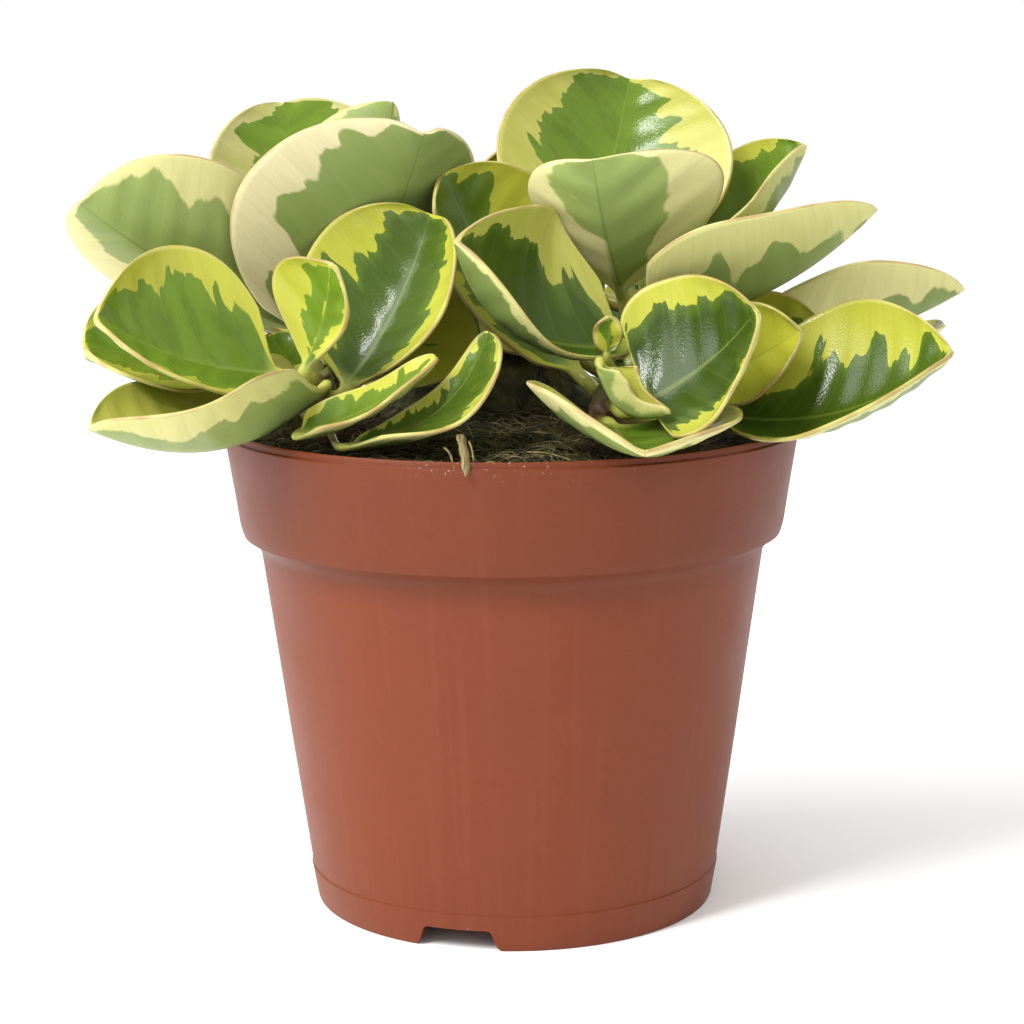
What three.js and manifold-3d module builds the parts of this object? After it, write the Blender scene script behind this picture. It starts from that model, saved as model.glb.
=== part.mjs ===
// A variegated peperomia in a moulded nursery pot, in millimetres, +Z up.
// The origin is on the ground at the pot's axis and -Y is the front. The pot is one moulding, the soil fills
// it, each shoot is a stem with its growing tip, and each large leaf is a solid with its own leaf stalk.

import * as THREE from 'three';
import { mergeVertices } from 'three/addons/utils/BufferGeometryUtils.js';
import Module from 'manifold-3d';

// Driving dimensions of the pot.
const RIM_RADIUS = 60;
const POT_HEIGHT = 101.5;
const FOOT_RADIUS = 42.5;
const WALL = 1.4;
const BAND_BOTTOM = 81.5; // where the rim band starts to curve in
const BAND_RADIUS = 57.1; // the band's outside there
const STEP_HEIGHT = 75; // where the curve meets the body
const STEP_RADIUS = 52.8;
const LIP_HEIGHT = 1.4; // the low inset lip along the top edge
const LIP_INSET = 0.7;
const FOOT_RECESS = 6.2; // from the ground to the underside of the floor
const FLOOR = 1.6;
const FOOT_WALL = 2.3;
const FOOT_EDGE = 0.5; // the small bevel around the foot
const BEND = 2; // height of the bends above the step and under the band
const LIP_EDGE = 0.3; // the lip's rounding
const POT_SIDES = 48;

// Three notches let water out from under the pot.
const NOTCH_COUNT = 3;
const NOTCH_ANGLE = THREE.MathUtils.degToRad(256); // the one that shows, a little left of the front
const NOTCH_HEIGHT = 4.4;
const NOTCH_TOP = 12.6; // its width at the top
const NOTCH_BOTTOM = 17.6;
const NOTCH_CORNER = 1.2; // the rounding of its top corners
const NOTCH_FLARE = 1.9; // how far its sides flare out at the ground
const NOTCH_FLARE_HEIGHT = 1.6;
const NOTCH_REACH = 8; // from the foot's outside inwards
const NOTCH_CUT = 12; // length of the cut along the radius

// Drain holes through the floor.
const DRAIN_COUNT = 6;
const DRAIN_RADIUS = 3.5;
const DRAIN_CIRCLE = 27;

// Soil and moss.
const GAP = 0.3; // between pieces that touch
const SOIL_EDGE = 98.6; // height at the wall
const SOIL_CROWN = 3; // rise from the wall to the middle
const SOIL_BUMP = 0.8;
const SOIL_BEVEL = 0.8; // the soft edge along the wall
const SOIL_SIDES = 30;

// Stems and leaves.
const STEM_RADIUS = 3;
const STEM_DEPTH = 14; // in the soil
const STEM_SIDES = 8;
const STALK_RADIUS = 1.5;
const BLADE_THICKNESS = 1.3;
const MARGIN_THICKNESS = 0.8;
const RIB_DEPTH = 0.9; // how far the midrib stands out under the blade at its base

const COLOURS = {
  pot: 0x9a5440,
  soil: 0x2e2a18,
  stem: 0x7a8a3c,
  leaf: 0x86a83c,
};

const wasm = await Module();
wasm.setup();

const vec = (p) => new THREE.Vector3(p[0], p[1], p[2]);
const smooth = (x, a, b) => THREE.MathUtils.smoothstep(x, a, b);

// --- Joining and cutting -------------------------------------------------------------------------------

function toSolid(geometry) {
  const plain = geometry.clone();
  for (const name of Object.keys(plain.attributes)) {
    if (name !== 'position') plain.deleteAttribute(name);
  }
  const merged = mergeVertices(plain, 1e-4);
  return new wasm.Manifold(new wasm.Mesh({
    numProp: 3,
    vertProperties: new Float32Array(merged.attributes.position.array),
    triVerts: new Uint32Array(merged.index.array),
  }));
}

function fromSolid(solid) {
  const mesh = solid.getMesh();
  const geometry = new THREE.BufferGeometry();
  geometry.setAttribute('position', new THREE.BufferAttribute(new Float32Array(mesh.vertProperties), 3));
  geometry.setIndex(new THREE.BufferAttribute(new Uint32Array(mesh.triVerts), 1));
  geometry.computeVertexNormals();
  return geometry;
}

// --- Pot -----------------------------------------------------------------------------------------------

// A lathe turned about Z, from points of (radius, height).
function turned(points, sides) {
  const profile = points.map(([radius, height]) => new THREE.Vector2(radius, height));
  return new THREE.LatheGeometry(profile, sides).rotateX(Math.PI / 2);
}

// The pot's outside radius on the plain body, which tapers from the step to the foot.
const bodyRadius = (height) => FOOT_RADIUS + (STEP_RADIUS - FOOT_RADIUS) * height / STEP_HEIGHT;

const FLOOR_TOP = FOOT_RECESS + FLOOR;

// The inner wall from the floor up, set in from the outside by a distance. The soil uses it too.
function innerWall(inset) {
  return [
    [bodyRadius(FLOOR_TOP) - inset, FLOOR_TOP],
    [STEP_RADIUS - inset, STEP_HEIGHT],
    [STEP_RADIUS + 0.6 * BEND - inset, STEP_HEIGHT + BEND],
    [BAND_RADIUS - 0.4 * BEND - inset, BAND_BOTTOM - BEND],
    [BAND_RADIUS - inset, BAND_BOTTOM],
  ];
}

function notchCutter() {
  const shape = new THREE.Shape();
  const top = NOTCH_TOP / 2;
  const bottom = NOTCH_BOTTOM / 2;
  shape.moveTo(-bottom - 1, -1);
  shape.lineTo(bottom + 1, -1);
  shape.lineTo(bottom, 0);
  shape.quadraticCurveTo(bottom - 0.7 * NOTCH_FLARE, 0.2 * NOTCH_FLARE_HEIGHT,
    bottom - NOTCH_FLARE, NOTCH_FLARE_HEIGHT);
  shape.lineTo(top, NOTCH_HEIGHT - NOTCH_CORNER);
  shape.quadraticCurveTo(top - 0.2, NOTCH_HEIGHT, top - NOTCH_CORNER, NOTCH_HEIGHT);
  shape.lineTo(-top + NOTCH_CORNER, NOTCH_HEIGHT);
  shape.quadraticCurveTo(-top + 0.2, NOTCH_HEIGHT, -top, NOTCH_HEIGHT - NOTCH_CORNER);
  shape.lineTo(-bottom + NOTCH_FLARE, NOTCH_FLARE_HEIGHT);
  shape.quadraticCurveTo(-bottom + 0.7 * NOTCH_FLARE, 0.2 * NOTCH_FLARE_HEIGHT, -bottom, 0);
  shape.closePath();
  const cutter = new THREE.ExtrudeGeometry(shape, { depth: NOTCH_CUT, bevelEnabled: false, curveSegments: 3 });
  return cutter.rotateX(Math.PI / 2).rotateZ(Math.PI / 2).translate(FOOT_RADIUS - NOTCH_REACH, 0, 0);
}

function potGeometry() {
  const lipBottom = POT_HEIGHT - LIP_HEIGHT;
  const outside = [
    [0, FOOT_RECESS],
    [FOOT_RADIUS - FOOT_WALL, FOOT_RECESS],
    [FOOT_RADIUS - FOOT_WALL, 0],
    [FOOT_RADIUS - FOOT_EDGE, 0],
    [FOOT_RADIUS, FOOT_EDGE],
    [STEP_RADIUS, STEP_HEIGHT],
    [STEP_RADIUS + 0.6 * BEND, STEP_HEIGHT + BEND],
    [BAND_RADIUS - 0.4 * BEND, BAND_BOTTOM - BEND],
    [BAND_RADIUS, BAND_BOTTOM],
    [RIM_RADIUS, lipBottom],
    [RIM_RADIUS - LIP_INSET, lipBottom + LIP_EDGE],
    [RIM_RADIUS - LIP_INSET, POT_HEIGHT - LIP_EDGE],
    [RIM_RADIUS - LIP_INSET - LIP_EDGE, POT_HEIGHT],
    [RIM_RADIUS - WALL - 0.2, POT_HEIGHT],
  ];
  const inside = [...innerWall(WALL).reverse(), [0, FLOOR_TOP]];
  let pot = toSolid(turned([...outside, ...inside], POT_SIDES));
  for (let i = 0; i < NOTCH_COUNT; i++) {
    const angle = NOTCH_ANGLE + i * 2 * Math.PI / NOTCH_COUNT;
    pot = pot.subtract(toSolid(notchCutter().rotateZ(angle)));
  }
  for (let i = 0; i < DRAIN_COUNT; i++) {
    const hole = new THREE.CylinderGeometry(DRAIN_RADIUS, DRAIN_RADIUS, 4 * FLOOR, 12).rotateX(Math.PI / 2);
    hole.translate(DRAIN_CIRCLE, 0, FOOT_RECESS).rotateZ(i * 2 * Math.PI / DRAIN_COUNT);
    pot = pot.subtract(toSolid(hole));
  }
  return fromSolid(pot);
}

// --- Shoots --------------------------------------------------------------------------------------------

// Each shoot's foot in the soil (x, y) and the top of its stem.
const SHOOTS = {
  front_left: { foot: [-37, -14], top: [-40, -15, 114] },
  back_left: { foot: [-38, 17], top: [-41, 19, 122] },
  front_right: { foot: [17, -15], top: [24, -16, 114] },
  back_right: { foot: [23, 13], top: [28, 11, 129] },
  back: { foot: [8, 36], top: [7, 38, 125] },
};

function stemCurve({ foot, top }) {
  const low = new THREE.Vector3(foot[0], foot[1], SOIL_EDGE - STEM_DEPTH + 2);
  const high = vec(top);
  const upright = low.clone().setZ(SOIL_EDGE + 8);
  const leaning = upright.clone().lerp(high, 0.5);
  return new THREE.CubicBezierCurve3(low, upright, leaning, high);
}

// The stem's axis at a height above the ground.
function stemPoint(shoot, height) {
  const curve = stemCurve(shoot);
  let share = 0;
  while (share < 1 && curve.getPoint(share).z < height) share += 0.01;
  return curve.getPoint(share);
}

// --- Leaves --------------------------------------------------------------------------------------------

// Half the blade's width at s, from 0 at the stalk to 1 at the tip, as a share of the widest. A blunt leaf
// keeps its width nearer to the tip.
function halfWidth(leaf, s) {
  const rise = leaf.blunt * leaf.widest / (1 - leaf.widest);
  const most = leaf.widest ** rise * (1 - leaf.widest) ** leaf.blunt;
  return s ** rise * (1 - s) ** leaf.blunt / most;
}

// A leaf's own axes: the chord from stalk to tip, and the way its upper face looks.
function leafFrame(leaf) {
  const base = vec(leaf.base);
  const chord = vec(leaf.tip).sub(base);
  const along = chord.clone().normalize();
  const face = vec(leaf.face);
  face.addScaledVector(along, -face.dot(along)).normalize();
  return { base, chord, along, face };
}

// The midrib at s, with its direction, the way up from the upper face, and the way to the leaf's right.
function midrib(frame, leaf, s) {
  const { base, chord, face } = frame;
  const point = base.clone().addScaledVector(chord, s).addScaledVector(face, leaf.arch * 4 * s * (1 - s));
  const ahead = chord.clone().addScaledVector(face, leaf.arch * 4 * (1 - 2 * s)).normalize();
  const up = face.clone().addScaledVector(ahead, -face.dot(ahead)).normalize();
  up.applyAxisAngle(ahead, THREE.MathUtils.degToRad(leaf.twist) * (s - 0.3));
  return { point, ahead, up, right: ahead.clone().cross(up) };
}

// A point of the blade at s along and t across (-1 at the left margin, 1 at the right one), on the
// upper or lower face. Each half leaves the midrib at its fold angle and turns up by its curl.
function bladePoint(frame, leaf, s, t, upper) {
  const { point, up, right, ahead } = midrib(frame, leaf, s);
  const [fold, curl] = (t < 0 ? leaf.left : leaf.right).map(THREE.MathUtils.degToRad);
  const out = Math.abs(t);
  const turn = Math.max(curl, 1e-3);
  const angle = fold + turn * out;
  const half = leaf.width / 2 * leaf.sides[t < 0 ? 0 : 1] * halfWidth(leaf, s);
  const across = half * (Math.sin(angle) - Math.sin(fold)) / turn * Math.sign(t);
  const lift = half * (Math.cos(fold) - Math.cos(angle)) / turn;
  const wave = leaf.wave * out * out * Math.sin(9 * s + (t < 0 ? 0 : 2) + leaf.width);
  const pull = leaf.notch * smooth(s, 0.8, 1) * Math.exp(-((half * out / 4) ** 2));
  const normal = up.clone().multiplyScalar(Math.cos(angle))
    .addScaledVector(right, -Math.sin(angle) * Math.sign(t));
  const halfDepth = (BLADE_THICKNESS + (MARGIN_THICKNESS - BLADE_THICKNESS) * out) / 2;
  const rib = t === 0 ? RIB_DEPTH * (1 - s) ** 1.5 : 0;
  return point.addScaledVector(right, across).addScaledVector(up, lift + wave)
    .addScaledVector(ahead, -pull).addScaledVector(normal, upper ? halfDepth : -halfDepth - rib);
}

// One ring round the leaf: five points across the upper face, then five back across the lower one.
const ACROSS = [-1, -0.5, 0, 0.5, 1];
const RING = 2 * ACROSS.length;

const STALK_STEPS = [0, 6, 13]; // rings along the leaf stalk, in twentieths

function roundRing(centre, right, up, radius) {
  const ring = [];
  for (let i = 0; i < RING; i++) {
    const angle = Math.PI * (1 - (i + 0.5) / ACROSS.length);
    ring.push(centre.clone().addScaledVector(right, radius * Math.cos(angle))
      .addScaledVector(up, radius * Math.sin(angle)));
  }
  return ring;
}

// The leaf stalk, from the side of its stem to the blade's base.
function stalkRings(leaf, start) {
  const stem = stemPoint(SHOOTS[leaf.shoot], leaf.height);
  const way = start.point.clone().sub(stem).setZ(0).normalize();
  const socket = stem.clone().addScaledVector(way, STEM_RADIUS + 3 * GAP);
  const reach = start.point.distanceTo(socket);
  const out = socket.clone().addScaledVector(way, 0.35 * reach);
  const bend = start.point.clone().addScaledVector(start.ahead, -leaf.lead * reach);
  const stalk = new THREE.CubicBezierCurve3(socket, out, bend, start.point);
  const rings = [];
  const up = start.up.clone();
  for (let step = 19; step >= 0; step--) {
    const u = step / 20;
    const ahead = stalk.getTangent(u);
    up.addScaledVector(ahead, -up.dot(ahead)).normalize();
    if (STALK_STEPS.includes(step)) {
      rings.unshift(roundRing(stalk.getPoint(u), ahead.clone().cross(up), up, leaf.stalk));
    }
  }
  return rings;
}

function leafGeometry(leaf) {
  const frame = leafFrame(leaf);
  const rings = stalkRings(leaf, midrib(frame, leaf, 0));
  for (const s of [0, 0.06, 0.15, 0.3, 0.45, 0.6, 0.75, 0.88, 0.96]) {
    const { point, up, right } = midrib(frame, leaf, s);
    const round = roundRing(point, right, up, leaf.stalk);
    const flat = [...ACROSS.map((t) => bladePoint(frame, leaf, s, t, true)),
      ...ACROSS.toReversed().map((t) => bladePoint(frame, leaf, s, t, false))];
    rings.push(flat.map((p, i) => p.lerp(round[i], 1 - smooth(s, 0, 0.12))));
  }
  const tip = bladePoint(frame, leaf, 1, 0, true).lerp(bladePoint(frame, leaf, 1, 0, false), 0.5);
  return loft(rings, tip);
}

// A closed skin over rings of points, with a flat end at the first and a point at the last.
function loft(rings, tip) {
  const count = rings[0].length;
  const points = [...rings.flat(), tip];
  const faces = [];
  for (let row = 0; row + 1 < rings.length; row++) {
    for (let i = 0; i < count; i++) {
      const a = row * count + i;
      const b = row * count + (i + 1) % count;
      faces.push(a, b, a + count, b, b + count, a + count);
    }
  }
  const last = (rings.length - 1) * count;
  for (let i = 0; i < count; i++) {
    faces.push(last + i, last + (i + 1) % count, points.length - 1);
    if (i > 1) faces.push(0, i, i - 1);
  }
  const geometry = new THREE.BufferGeometry();
  geometry.setAttribute('position', new THREE.Float32BufferAttribute(points.flatMap((p) => p.toArray()), 3));
  geometry.setIndex(faces);
  geometry.computeVertexNormals();
  return geometry;
}

// Each leaf: the shoot it grows from and its height there, the blade's base and tip, the way its upper face
// looks, its width, how far the midrib bows towards the upper face, and [fold, curl] in degrees of the left
// and right halves as seen from above with the tip ahead. Some leaves also say the halves' shares of the
// width, the twist in degrees, the wave of the margin, the notch at the tip, where along the leaf it is
// widest, how blunt it is (less is blunter), how much of the stalk's length runs on in line with it, and the
// stalk's radius.
const USUAL = {
  sides: [1, 1], twist: 0, wave: 0.4, notch: 0, widest: 0.56, blunt: 0.5, lead: 0.4, stalk: STALK_RADIUS,
};
const LEAVES = [
  // The back left shoot.
  ['back_left', 114, [-46, 11, 121], [-86.5, -14, 148.3], [0, 0.75, 0.66],
    47, -3, [16, 32], [12, 30], { blunt: 0.4 }],
  ['back_left', 109.5, [-39, 12, 115], [-17, -6, 162.8], [-0.4, 0.8, 0.56],
    65, -3, [14, 34], [5, 18], { sides: [0.99, 1.01], notch: 1.5, blunt: 0.44 }],
  ['back_left', 118, [-42, 28, 126], [-50.5, 46, 168.2], [0.1, -0.89, 0.45],
    45, -3, [8, 25], [0, 10], { sides: [0.95, 1.05], notch: 0.7, blunt: 0.45 }],
  ['back_left', 118, [-33, 23, 127], [-25, 25.5, 167.5], [-0.2, 0.95, 0.2],
    24, -3, [15, 30], [10, 20], { sides: [0.35, 1.6] }],
  ['back_left', 104, [-50, 24, 107], [-94.5, 34, 112], [0, 0, 1], 36, -3, [8, 15], [8, 15], {}],
  ['back_left', 112, [-47, 29, 117], [-72, 50, 130], [0.2, -0.2, 0.9], 36, -3, [12, 25], [12, 25], {}],
  ['back_left', 106, [-37, 29, 109], [-42, 59, 118], [0, -0.2, 0.95], 36, -3, [12, 25], [12, 25], {}],
  // The front left shoot.
  ['front_left', 108, [-46, -20, 113.5], [-80.3, -38, 127], [0.15, -0.62, 0.78],
    47, -4, [18, 22], [14, 25], { sides: [0.76, 1.04], widest: 0.52, blunt: 0.5 }],
  ['front_left', 104, [-50, -9, 115.5], [-86, -20, 120], [0.1, -0.5, 0.85],
    32, -3, [12, 20], [10, 25], { sides: [1.2, 1], widest: 0.64, blunt: 0.36 }],
  ['front_left', 109.6, [-37, -26, 112.2], [-80.5, -48, 107], [0, 0.15, 0.98],
    42, -8, [26, 22], [18, 25], { twist: -32, widest: 0.52, blunt: 0.45 }],
  ['front_left', 112.3, [-41, -25, 115], [-34.5, -31, 136.6], [-0.6, -0.8, 0.2],
    29, -2, [5, 20], [0, 30], { sides: [0.95, 0.5], widest: 0.68, blunt: 0.5 }],
  ['front_left', 108.5, [-33.5, -18.3, 110.2], [-15.5, -7.8, 146], [-0.45, -0.85, 0.3],
    43, -4, [12, 32], [16, 30], { sides: [1, 0.88], notch: 1, blunt: 0.4 }],
  ['front_left', 104.2, [-41.8, -38.6, 103.9], [-14.2, -33.2, 118.4], [-0.3, -0.3, 0.9],
    18, -3, [10, 20], [15, 20], { sides: [0.85, 0.85], widest: 0.36, lead: 0.15, stalk: 1.1 }],
  ['front_left', 101.9, [-33, -40.3, 101.9], [-3.5, -32, 123.1], [-0.5, -0.3, 0.8],
    36, -7, [12, 20], [8, 18], { sides: [0.32, 0.98], twist: 20, widest: 0.5, blunt: 0.42, lead: 0.15, stalk: 1.1 }],
  ['front_left', 106, [-29, -2, 109], [-13, 4, 132], [0.3, -0.9, 0.3], 30, -2, [15, 30], [15, 30], {}],
  ['front_left', 111.5, [-43.5, -6, 113], [-50.5, 3.5, 119.5], [0.1, -0.4, 0.9],
    18, -2, [12, 25], [12, 25], {}],
  // The back right shoot.
  ['back_right', 124, [16.5, 19, 130], [27, 40, 173], [0, -0.88, 0.46],
    56, -4, [8, 28], [8, 27], { sides: [0.97, 1.01], notch: 1, blunt: 0.42 }],
  ['back_right', 122, [23.5, 5.5, 127.8], [16.6, -16, 156.4], [0.02, 0.66, 0.72],
    45, -4, [0, 15], [8, 30], { sides: [1.12, 0.72], notch: 0.3, widest: 0.77, blunt: 0.28 }],
  ['back_right', 118, [26.5, -7, 122], [73.4, -18, 146], [-0.35, 0.15, 0.92],
    40, -5, [15, 20], [28, 28], { sides: [0.98, 1.15], widest: 0.38, blunt: 0.6 }],
  ['back_right', 125, [39, 20, 132], [64, 24, 157.8], [-0.5, -0.4, 0.75],
    30, -5, [8, 18], [35, 30], { sides: [1.5, 1], widest: 0.52 }],
  ['back_right', 112, [50, 16, 116], [96.5, 10, 127.5], [-0.1, 0, 0.99],
    38, -4, [20, 30], [40, 30], { widest: 0.5 }],
  ['back_right', 107, [54, 28, 107.5], [95, 24, 118.5], [0, 0, 1], 30, -3, [5, 10], [5, 10], {}],
  ['back_right', 118, [38, 26, 122], [70, 48, 138], [-0.2, -0.3, 0.9], 40, -3, [12, 25], [12, 25], {}],
  ['back_right', 109, [15, 24, 112], [-2, 30, 132], [0.2, -0.8, 0.6], 38, -3, [12, 25], [12, 25], {}],
  // The front right shoot.
  ['front_right', 102.6, [41, -16, 103.9], [86, -36, 119], [-0.1, -0.35, 0.93],
    44, -7, [30, 30], [12, 18], { sides: [1.08, 1.14] }],
  ['front_right', 106, [37, -11, 109.5], [58, -23, 122], [-0.3, -0.8, 0.4],
    24, -2, [15, 30], [15, 30], {}],
  ['front_right', 107, [26, -31, 108.3], [47.8, -39.8, 127.5], [-0.45, -0.75, 0.55],
    43, -3, [5, 22], [12, 35], { sides: [0.98, 1.01], widest: 0.37, blunt: 0.44 }],
  ['front_right', 112.8, [25.5, -10, 117.5], [-10.7, -33, 141], [0.2, -0.45, 0.85],
    50, -10, [15, 25], [34, 26], { sides: [0.72, 1.08], widest: 0.56, blunt: 0.46 }],
  ['front_right', 108.5, [14, 3, 111], [-14.1, 3.3, 152.8], [0.55, -0.75, 0.3],
    43, -5, [12, 28], [10, 30], { sides: [0.8, 1], blunt: 0.4 }],
  ['front_right', 103.1, [20, -31, 103.8], [24.8, -64.2, 103.5], [0, 0, 1],
    49, -1.5, [5, 24], [18, 34], { sides: [0.94, 0.97], notch: 1, widest: 0.47 }],
  ['front_right', 109.9, [17.4, -33.8, 117], [30.8, -42.5, 108.2], [0.45, -0.2, 1],
    21, -5, [62, 60], [50, 30], { sides: [0.8, 0.6], widest: 0.2, lead: 0.15, stalk: 1 }],
  ['front_right', 109.2, [37, 1, 111], [65, -1, 121], [-0.3, -0.6, 0.7], 26, -2, [15, 30], [15, 30], {}],
  ['front_right', 113.4, [19, -27.5, 118.3], [19.4, -29.5, 126], [0, -0.95, 0.25],
    6, -0.5, [10, 20], [10, 20], { lead: 0.2, stalk: 0.9 }],
  // The back shoot.
  ['back', 122, [5, 46, 128], [3, 44, 159], [0.1, -0.9, 0.3], 34, -3, [12, 30], [12, 30], {}],
  ['back', 117, [-1, 46, 124], [-26, 58, 146], [0.3, -0.4, 0.85], 36, -3, [12, 25], [12, 25], {}],
  ['back', 108, [17, 44, 112], [46, 55, 120], [-0.2, -0.3, 0.9], 40, -3, [12, 25], [12, 25], {}],
  ['back', 109, [3, 48, 111], [-4, 62, 121], [0.1, -0.3, 0.95], 32, -3, [12, 25], [12, 25], {}],
  ['back', 110, [-3, 33, 112], [-27, 29, 125], [0.2, -0.4, 0.9], 34, -3, [12, 25], [12, 25], {}],
  ['back', 103, [18, 37, 105], [50, 48, 107], [0, -0.1, 0.98], 32, -3, [10, 15], [10, 15], {}],
].map(([shoot, height, base, tip, face, width, arch, left, right, more]) => (
  { shoot, height, base, tip, face, width, arch, left, right, ...USUAL, ...more }));

// --- Soil ----------------------------------------------------------------------------------------------

// The soil's surface, a low uneven mound of moss and peat.
function soilHeight(x, y) {
  const share = Math.hypot(x, y) / (RIM_RADIUS - WALL);
  const bumps = Math.sin(x / 6 + 1.3) * Math.cos(y / 7) + 0.6 * Math.sin(x / 3.1 - y / 3.7);
  return SOIL_EDGE + SOIL_CROWN * (1 - share ** 2) + SOIL_BUMP * bumps * smooth(1 - share, 0, 0.3);
}

function soilGeometry() {
  const wall = innerWall(WALL + GAP);
  wall[0] = [wall[0][0], FLOOR_TOP + GAP];
  const rise = (SOIL_EDGE - SOIL_BEVEL - BAND_BOTTOM) / (POT_HEIGHT - BAND_BOTTOM);
  const edge = BAND_RADIUS + (RIM_RADIUS - 0.2 - BAND_RADIUS) * rise - WALL - GAP;
  const profile = [[0, FLOOR_TOP + GAP], ...wall];
  profile.push([edge, SOIL_EDGE - SOIL_BEVEL], [edge - SOIL_BEVEL, SOIL_EDGE]);
  for (const radius of [50, 42, 34, 26, 18, 10, 0]) profile.push([radius, SOIL_EDGE + 1]);
  const geometry = turned(profile, SOIL_SIDES);
  const places = geometry.attributes.position;
  for (let i = 0; i < places.count; i++) {
    if (places.getZ(i) > SOIL_EDGE + 0.5) {
      places.setZ(i, soilHeight(places.getX(i), places.getY(i)));
    }
  }
  let soil = toSolid(geometry);
  for (const shoot of Object.values(SHOOTS)) {
    const radius = STEM_RADIUS + 4 * GAP;
    const hole = new THREE.CylinderGeometry(radius, radius, 30, STEM_SIDES).rotateX(Math.PI / 2);
    hole.translate(shoot.foot[0], shoot.foot[1], SOIL_EDGE - STEM_DEPTH + 15);
    soil = soil.subtract(toSolid(hole));
  }
  return fromSolid(soil);
}

// --- Stems ---------------------------------------------------------------------------------------------

// The bud at a stem's tip, as (radius, height).
const BUD = [[0, -2], [2.2, -1], [2.5, 1], [1.7, 3], [0, 4.6]];

function stemGeometry(shoot) {
  const section = new THREE.Shape();
  for (let i = 0; i < STEM_SIDES; i++) {
    const angle = i * 2 * Math.PI / STEM_SIDES;
    const place = [STEM_RADIUS * Math.cos(angle), STEM_RADIUS * Math.sin(angle)];
    if (i === 0) section.moveTo(...place);
    else section.lineTo(...place);
  }
  section.closePath();
  const curve = stemCurve(shoot);
  const stem = new THREE.ExtrudeGeometry(section, { steps: 6, bevelEnabled: false, extrudePath: curve });
  const bud = turned(BUD, STEM_SIDES).applyQuaternion(
    new THREE.Quaternion().setFromUnitVectors(new THREE.Vector3(0, 0, 1), curve.getTangent(1)));
  bud.translate(...shoot.top);
  return fromSolid(toSolid(stem).add(toSolid(bud)));
}

// --- The plant in its pot ------------------------------------------------------------------------------

const plant = new THREE.Group();

function add(name, geometry, colour, roughness) {
  const material = new THREE.MeshStandardMaterial({ color: colour, roughness, metalness: 0 });
  const mesh = new THREE.Mesh(geometry, material);
  mesh.name = name;
  plant.add(mesh);
}

add('pot', potGeometry(), COLOURS.pot, 0.45);
add('soil', soilGeometry(), COLOURS.soil, 1);
for (const [name, shoot] of Object.entries(SHOOTS)) {
  add(`stem_${name}`, stemGeometry(shoot), COLOURS.stem, 0.5);
}
const grown = {};
for (const leaf of LEAVES) {
  grown[leaf.shoot] = (grown[leaf.shoot] ?? 0) + 1;
  add(`leaf_${leaf.shoot}_${grown[leaf.shoot]}`, leafGeometry(leaf), COLOURS.leaf, 0.35);
}

export default plant;
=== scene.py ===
"""The looks of a variegated peperomia in a moulded nursery pot, fitted over its CAD solids.

Lengths are worked out in millimetres and turned to metres where they reach Blender. -Y is the front."""

import math
import random

import bmesh
import bpy
import numpy as np
from mathutils import Matrix, Vector, noise


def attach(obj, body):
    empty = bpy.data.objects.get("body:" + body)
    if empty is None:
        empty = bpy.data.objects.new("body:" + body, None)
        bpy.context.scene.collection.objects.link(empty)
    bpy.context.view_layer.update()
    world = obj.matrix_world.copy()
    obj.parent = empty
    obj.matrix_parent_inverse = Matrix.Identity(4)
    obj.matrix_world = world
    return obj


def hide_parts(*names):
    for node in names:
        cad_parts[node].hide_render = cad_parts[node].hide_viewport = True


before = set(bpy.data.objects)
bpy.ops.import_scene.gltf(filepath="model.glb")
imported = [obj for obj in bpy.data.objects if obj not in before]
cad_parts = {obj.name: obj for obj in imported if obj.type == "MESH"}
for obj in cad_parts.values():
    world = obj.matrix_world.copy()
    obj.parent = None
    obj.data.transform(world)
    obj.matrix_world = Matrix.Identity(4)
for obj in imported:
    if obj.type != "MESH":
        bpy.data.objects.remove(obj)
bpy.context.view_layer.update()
bpy.ops.object.select_all(action="DESELECT")


# --- Pot ---------------------------------------------------------------------------------------------------
# The pot is one thin-walled moulding of brown polypropylene. Its body tapers to a foot ring with three water
# notches, and its flared rim band ends in a low inset lip. Water drains through six holes in the floor.

MM = 0.001
POT_SIDES = 192
FOOT_RADIUS = 42.5
FLOOR_UNDER = 6.2
FLOOR_TOP = 7.8
SHARP_DEGREES = 32

# (radius, height) from the middle of the floor's underside, out and up the outside, then down the inside.
POT_OUTLINE = [
    (8.0, FLOOR_UNDER), (24.0, FLOOR_UNDER), (39.6, FLOOR_UNDER), (40.1, 5.9), (40.2, 5.2), (40.2, 0.4),
    (40.5, 0.0), (41.9, 0.0), (42.35, 0.15), (42.5, 0.6), (43.62, 7.1), (43.64, 7.4), (43.42, 7.55),
    (43.7, 9.5), (47.3, 35.0), (50.3, 57.0), (52.5, 73.0), (52.8, 75.0), (53.05, 75.9), (53.6, 76.8),
    (54.4, 77.6), (55.4, 78.4), (56.45, 79.05), (56.7, 79.8), (57.0, 80.8), (57.2, 81.8), (58.1, 88.0),
    (59.2, 95.0), (59.95, 99.7), (59.92, 100.0), (59.75, 100.15), (59.4, 100.2), (59.26, 100.35),
    (59.22, 101.1), (59.1, 101.38), (58.85, 101.5), (58.6, 101.45), (58.45, 101.2), (57.6, 94.0),
    (55.7, 81.5), (55.0, 79.5), (52.7, 77.2), (51.4, 75.0), (46.6, 40.0), (42.4, 9.4), (41.8, 8.2),
    (40.8, FLOOR_TOP), (24.0, FLOOR_TOP), (8.0, FLOOR_TOP),
]

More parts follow.
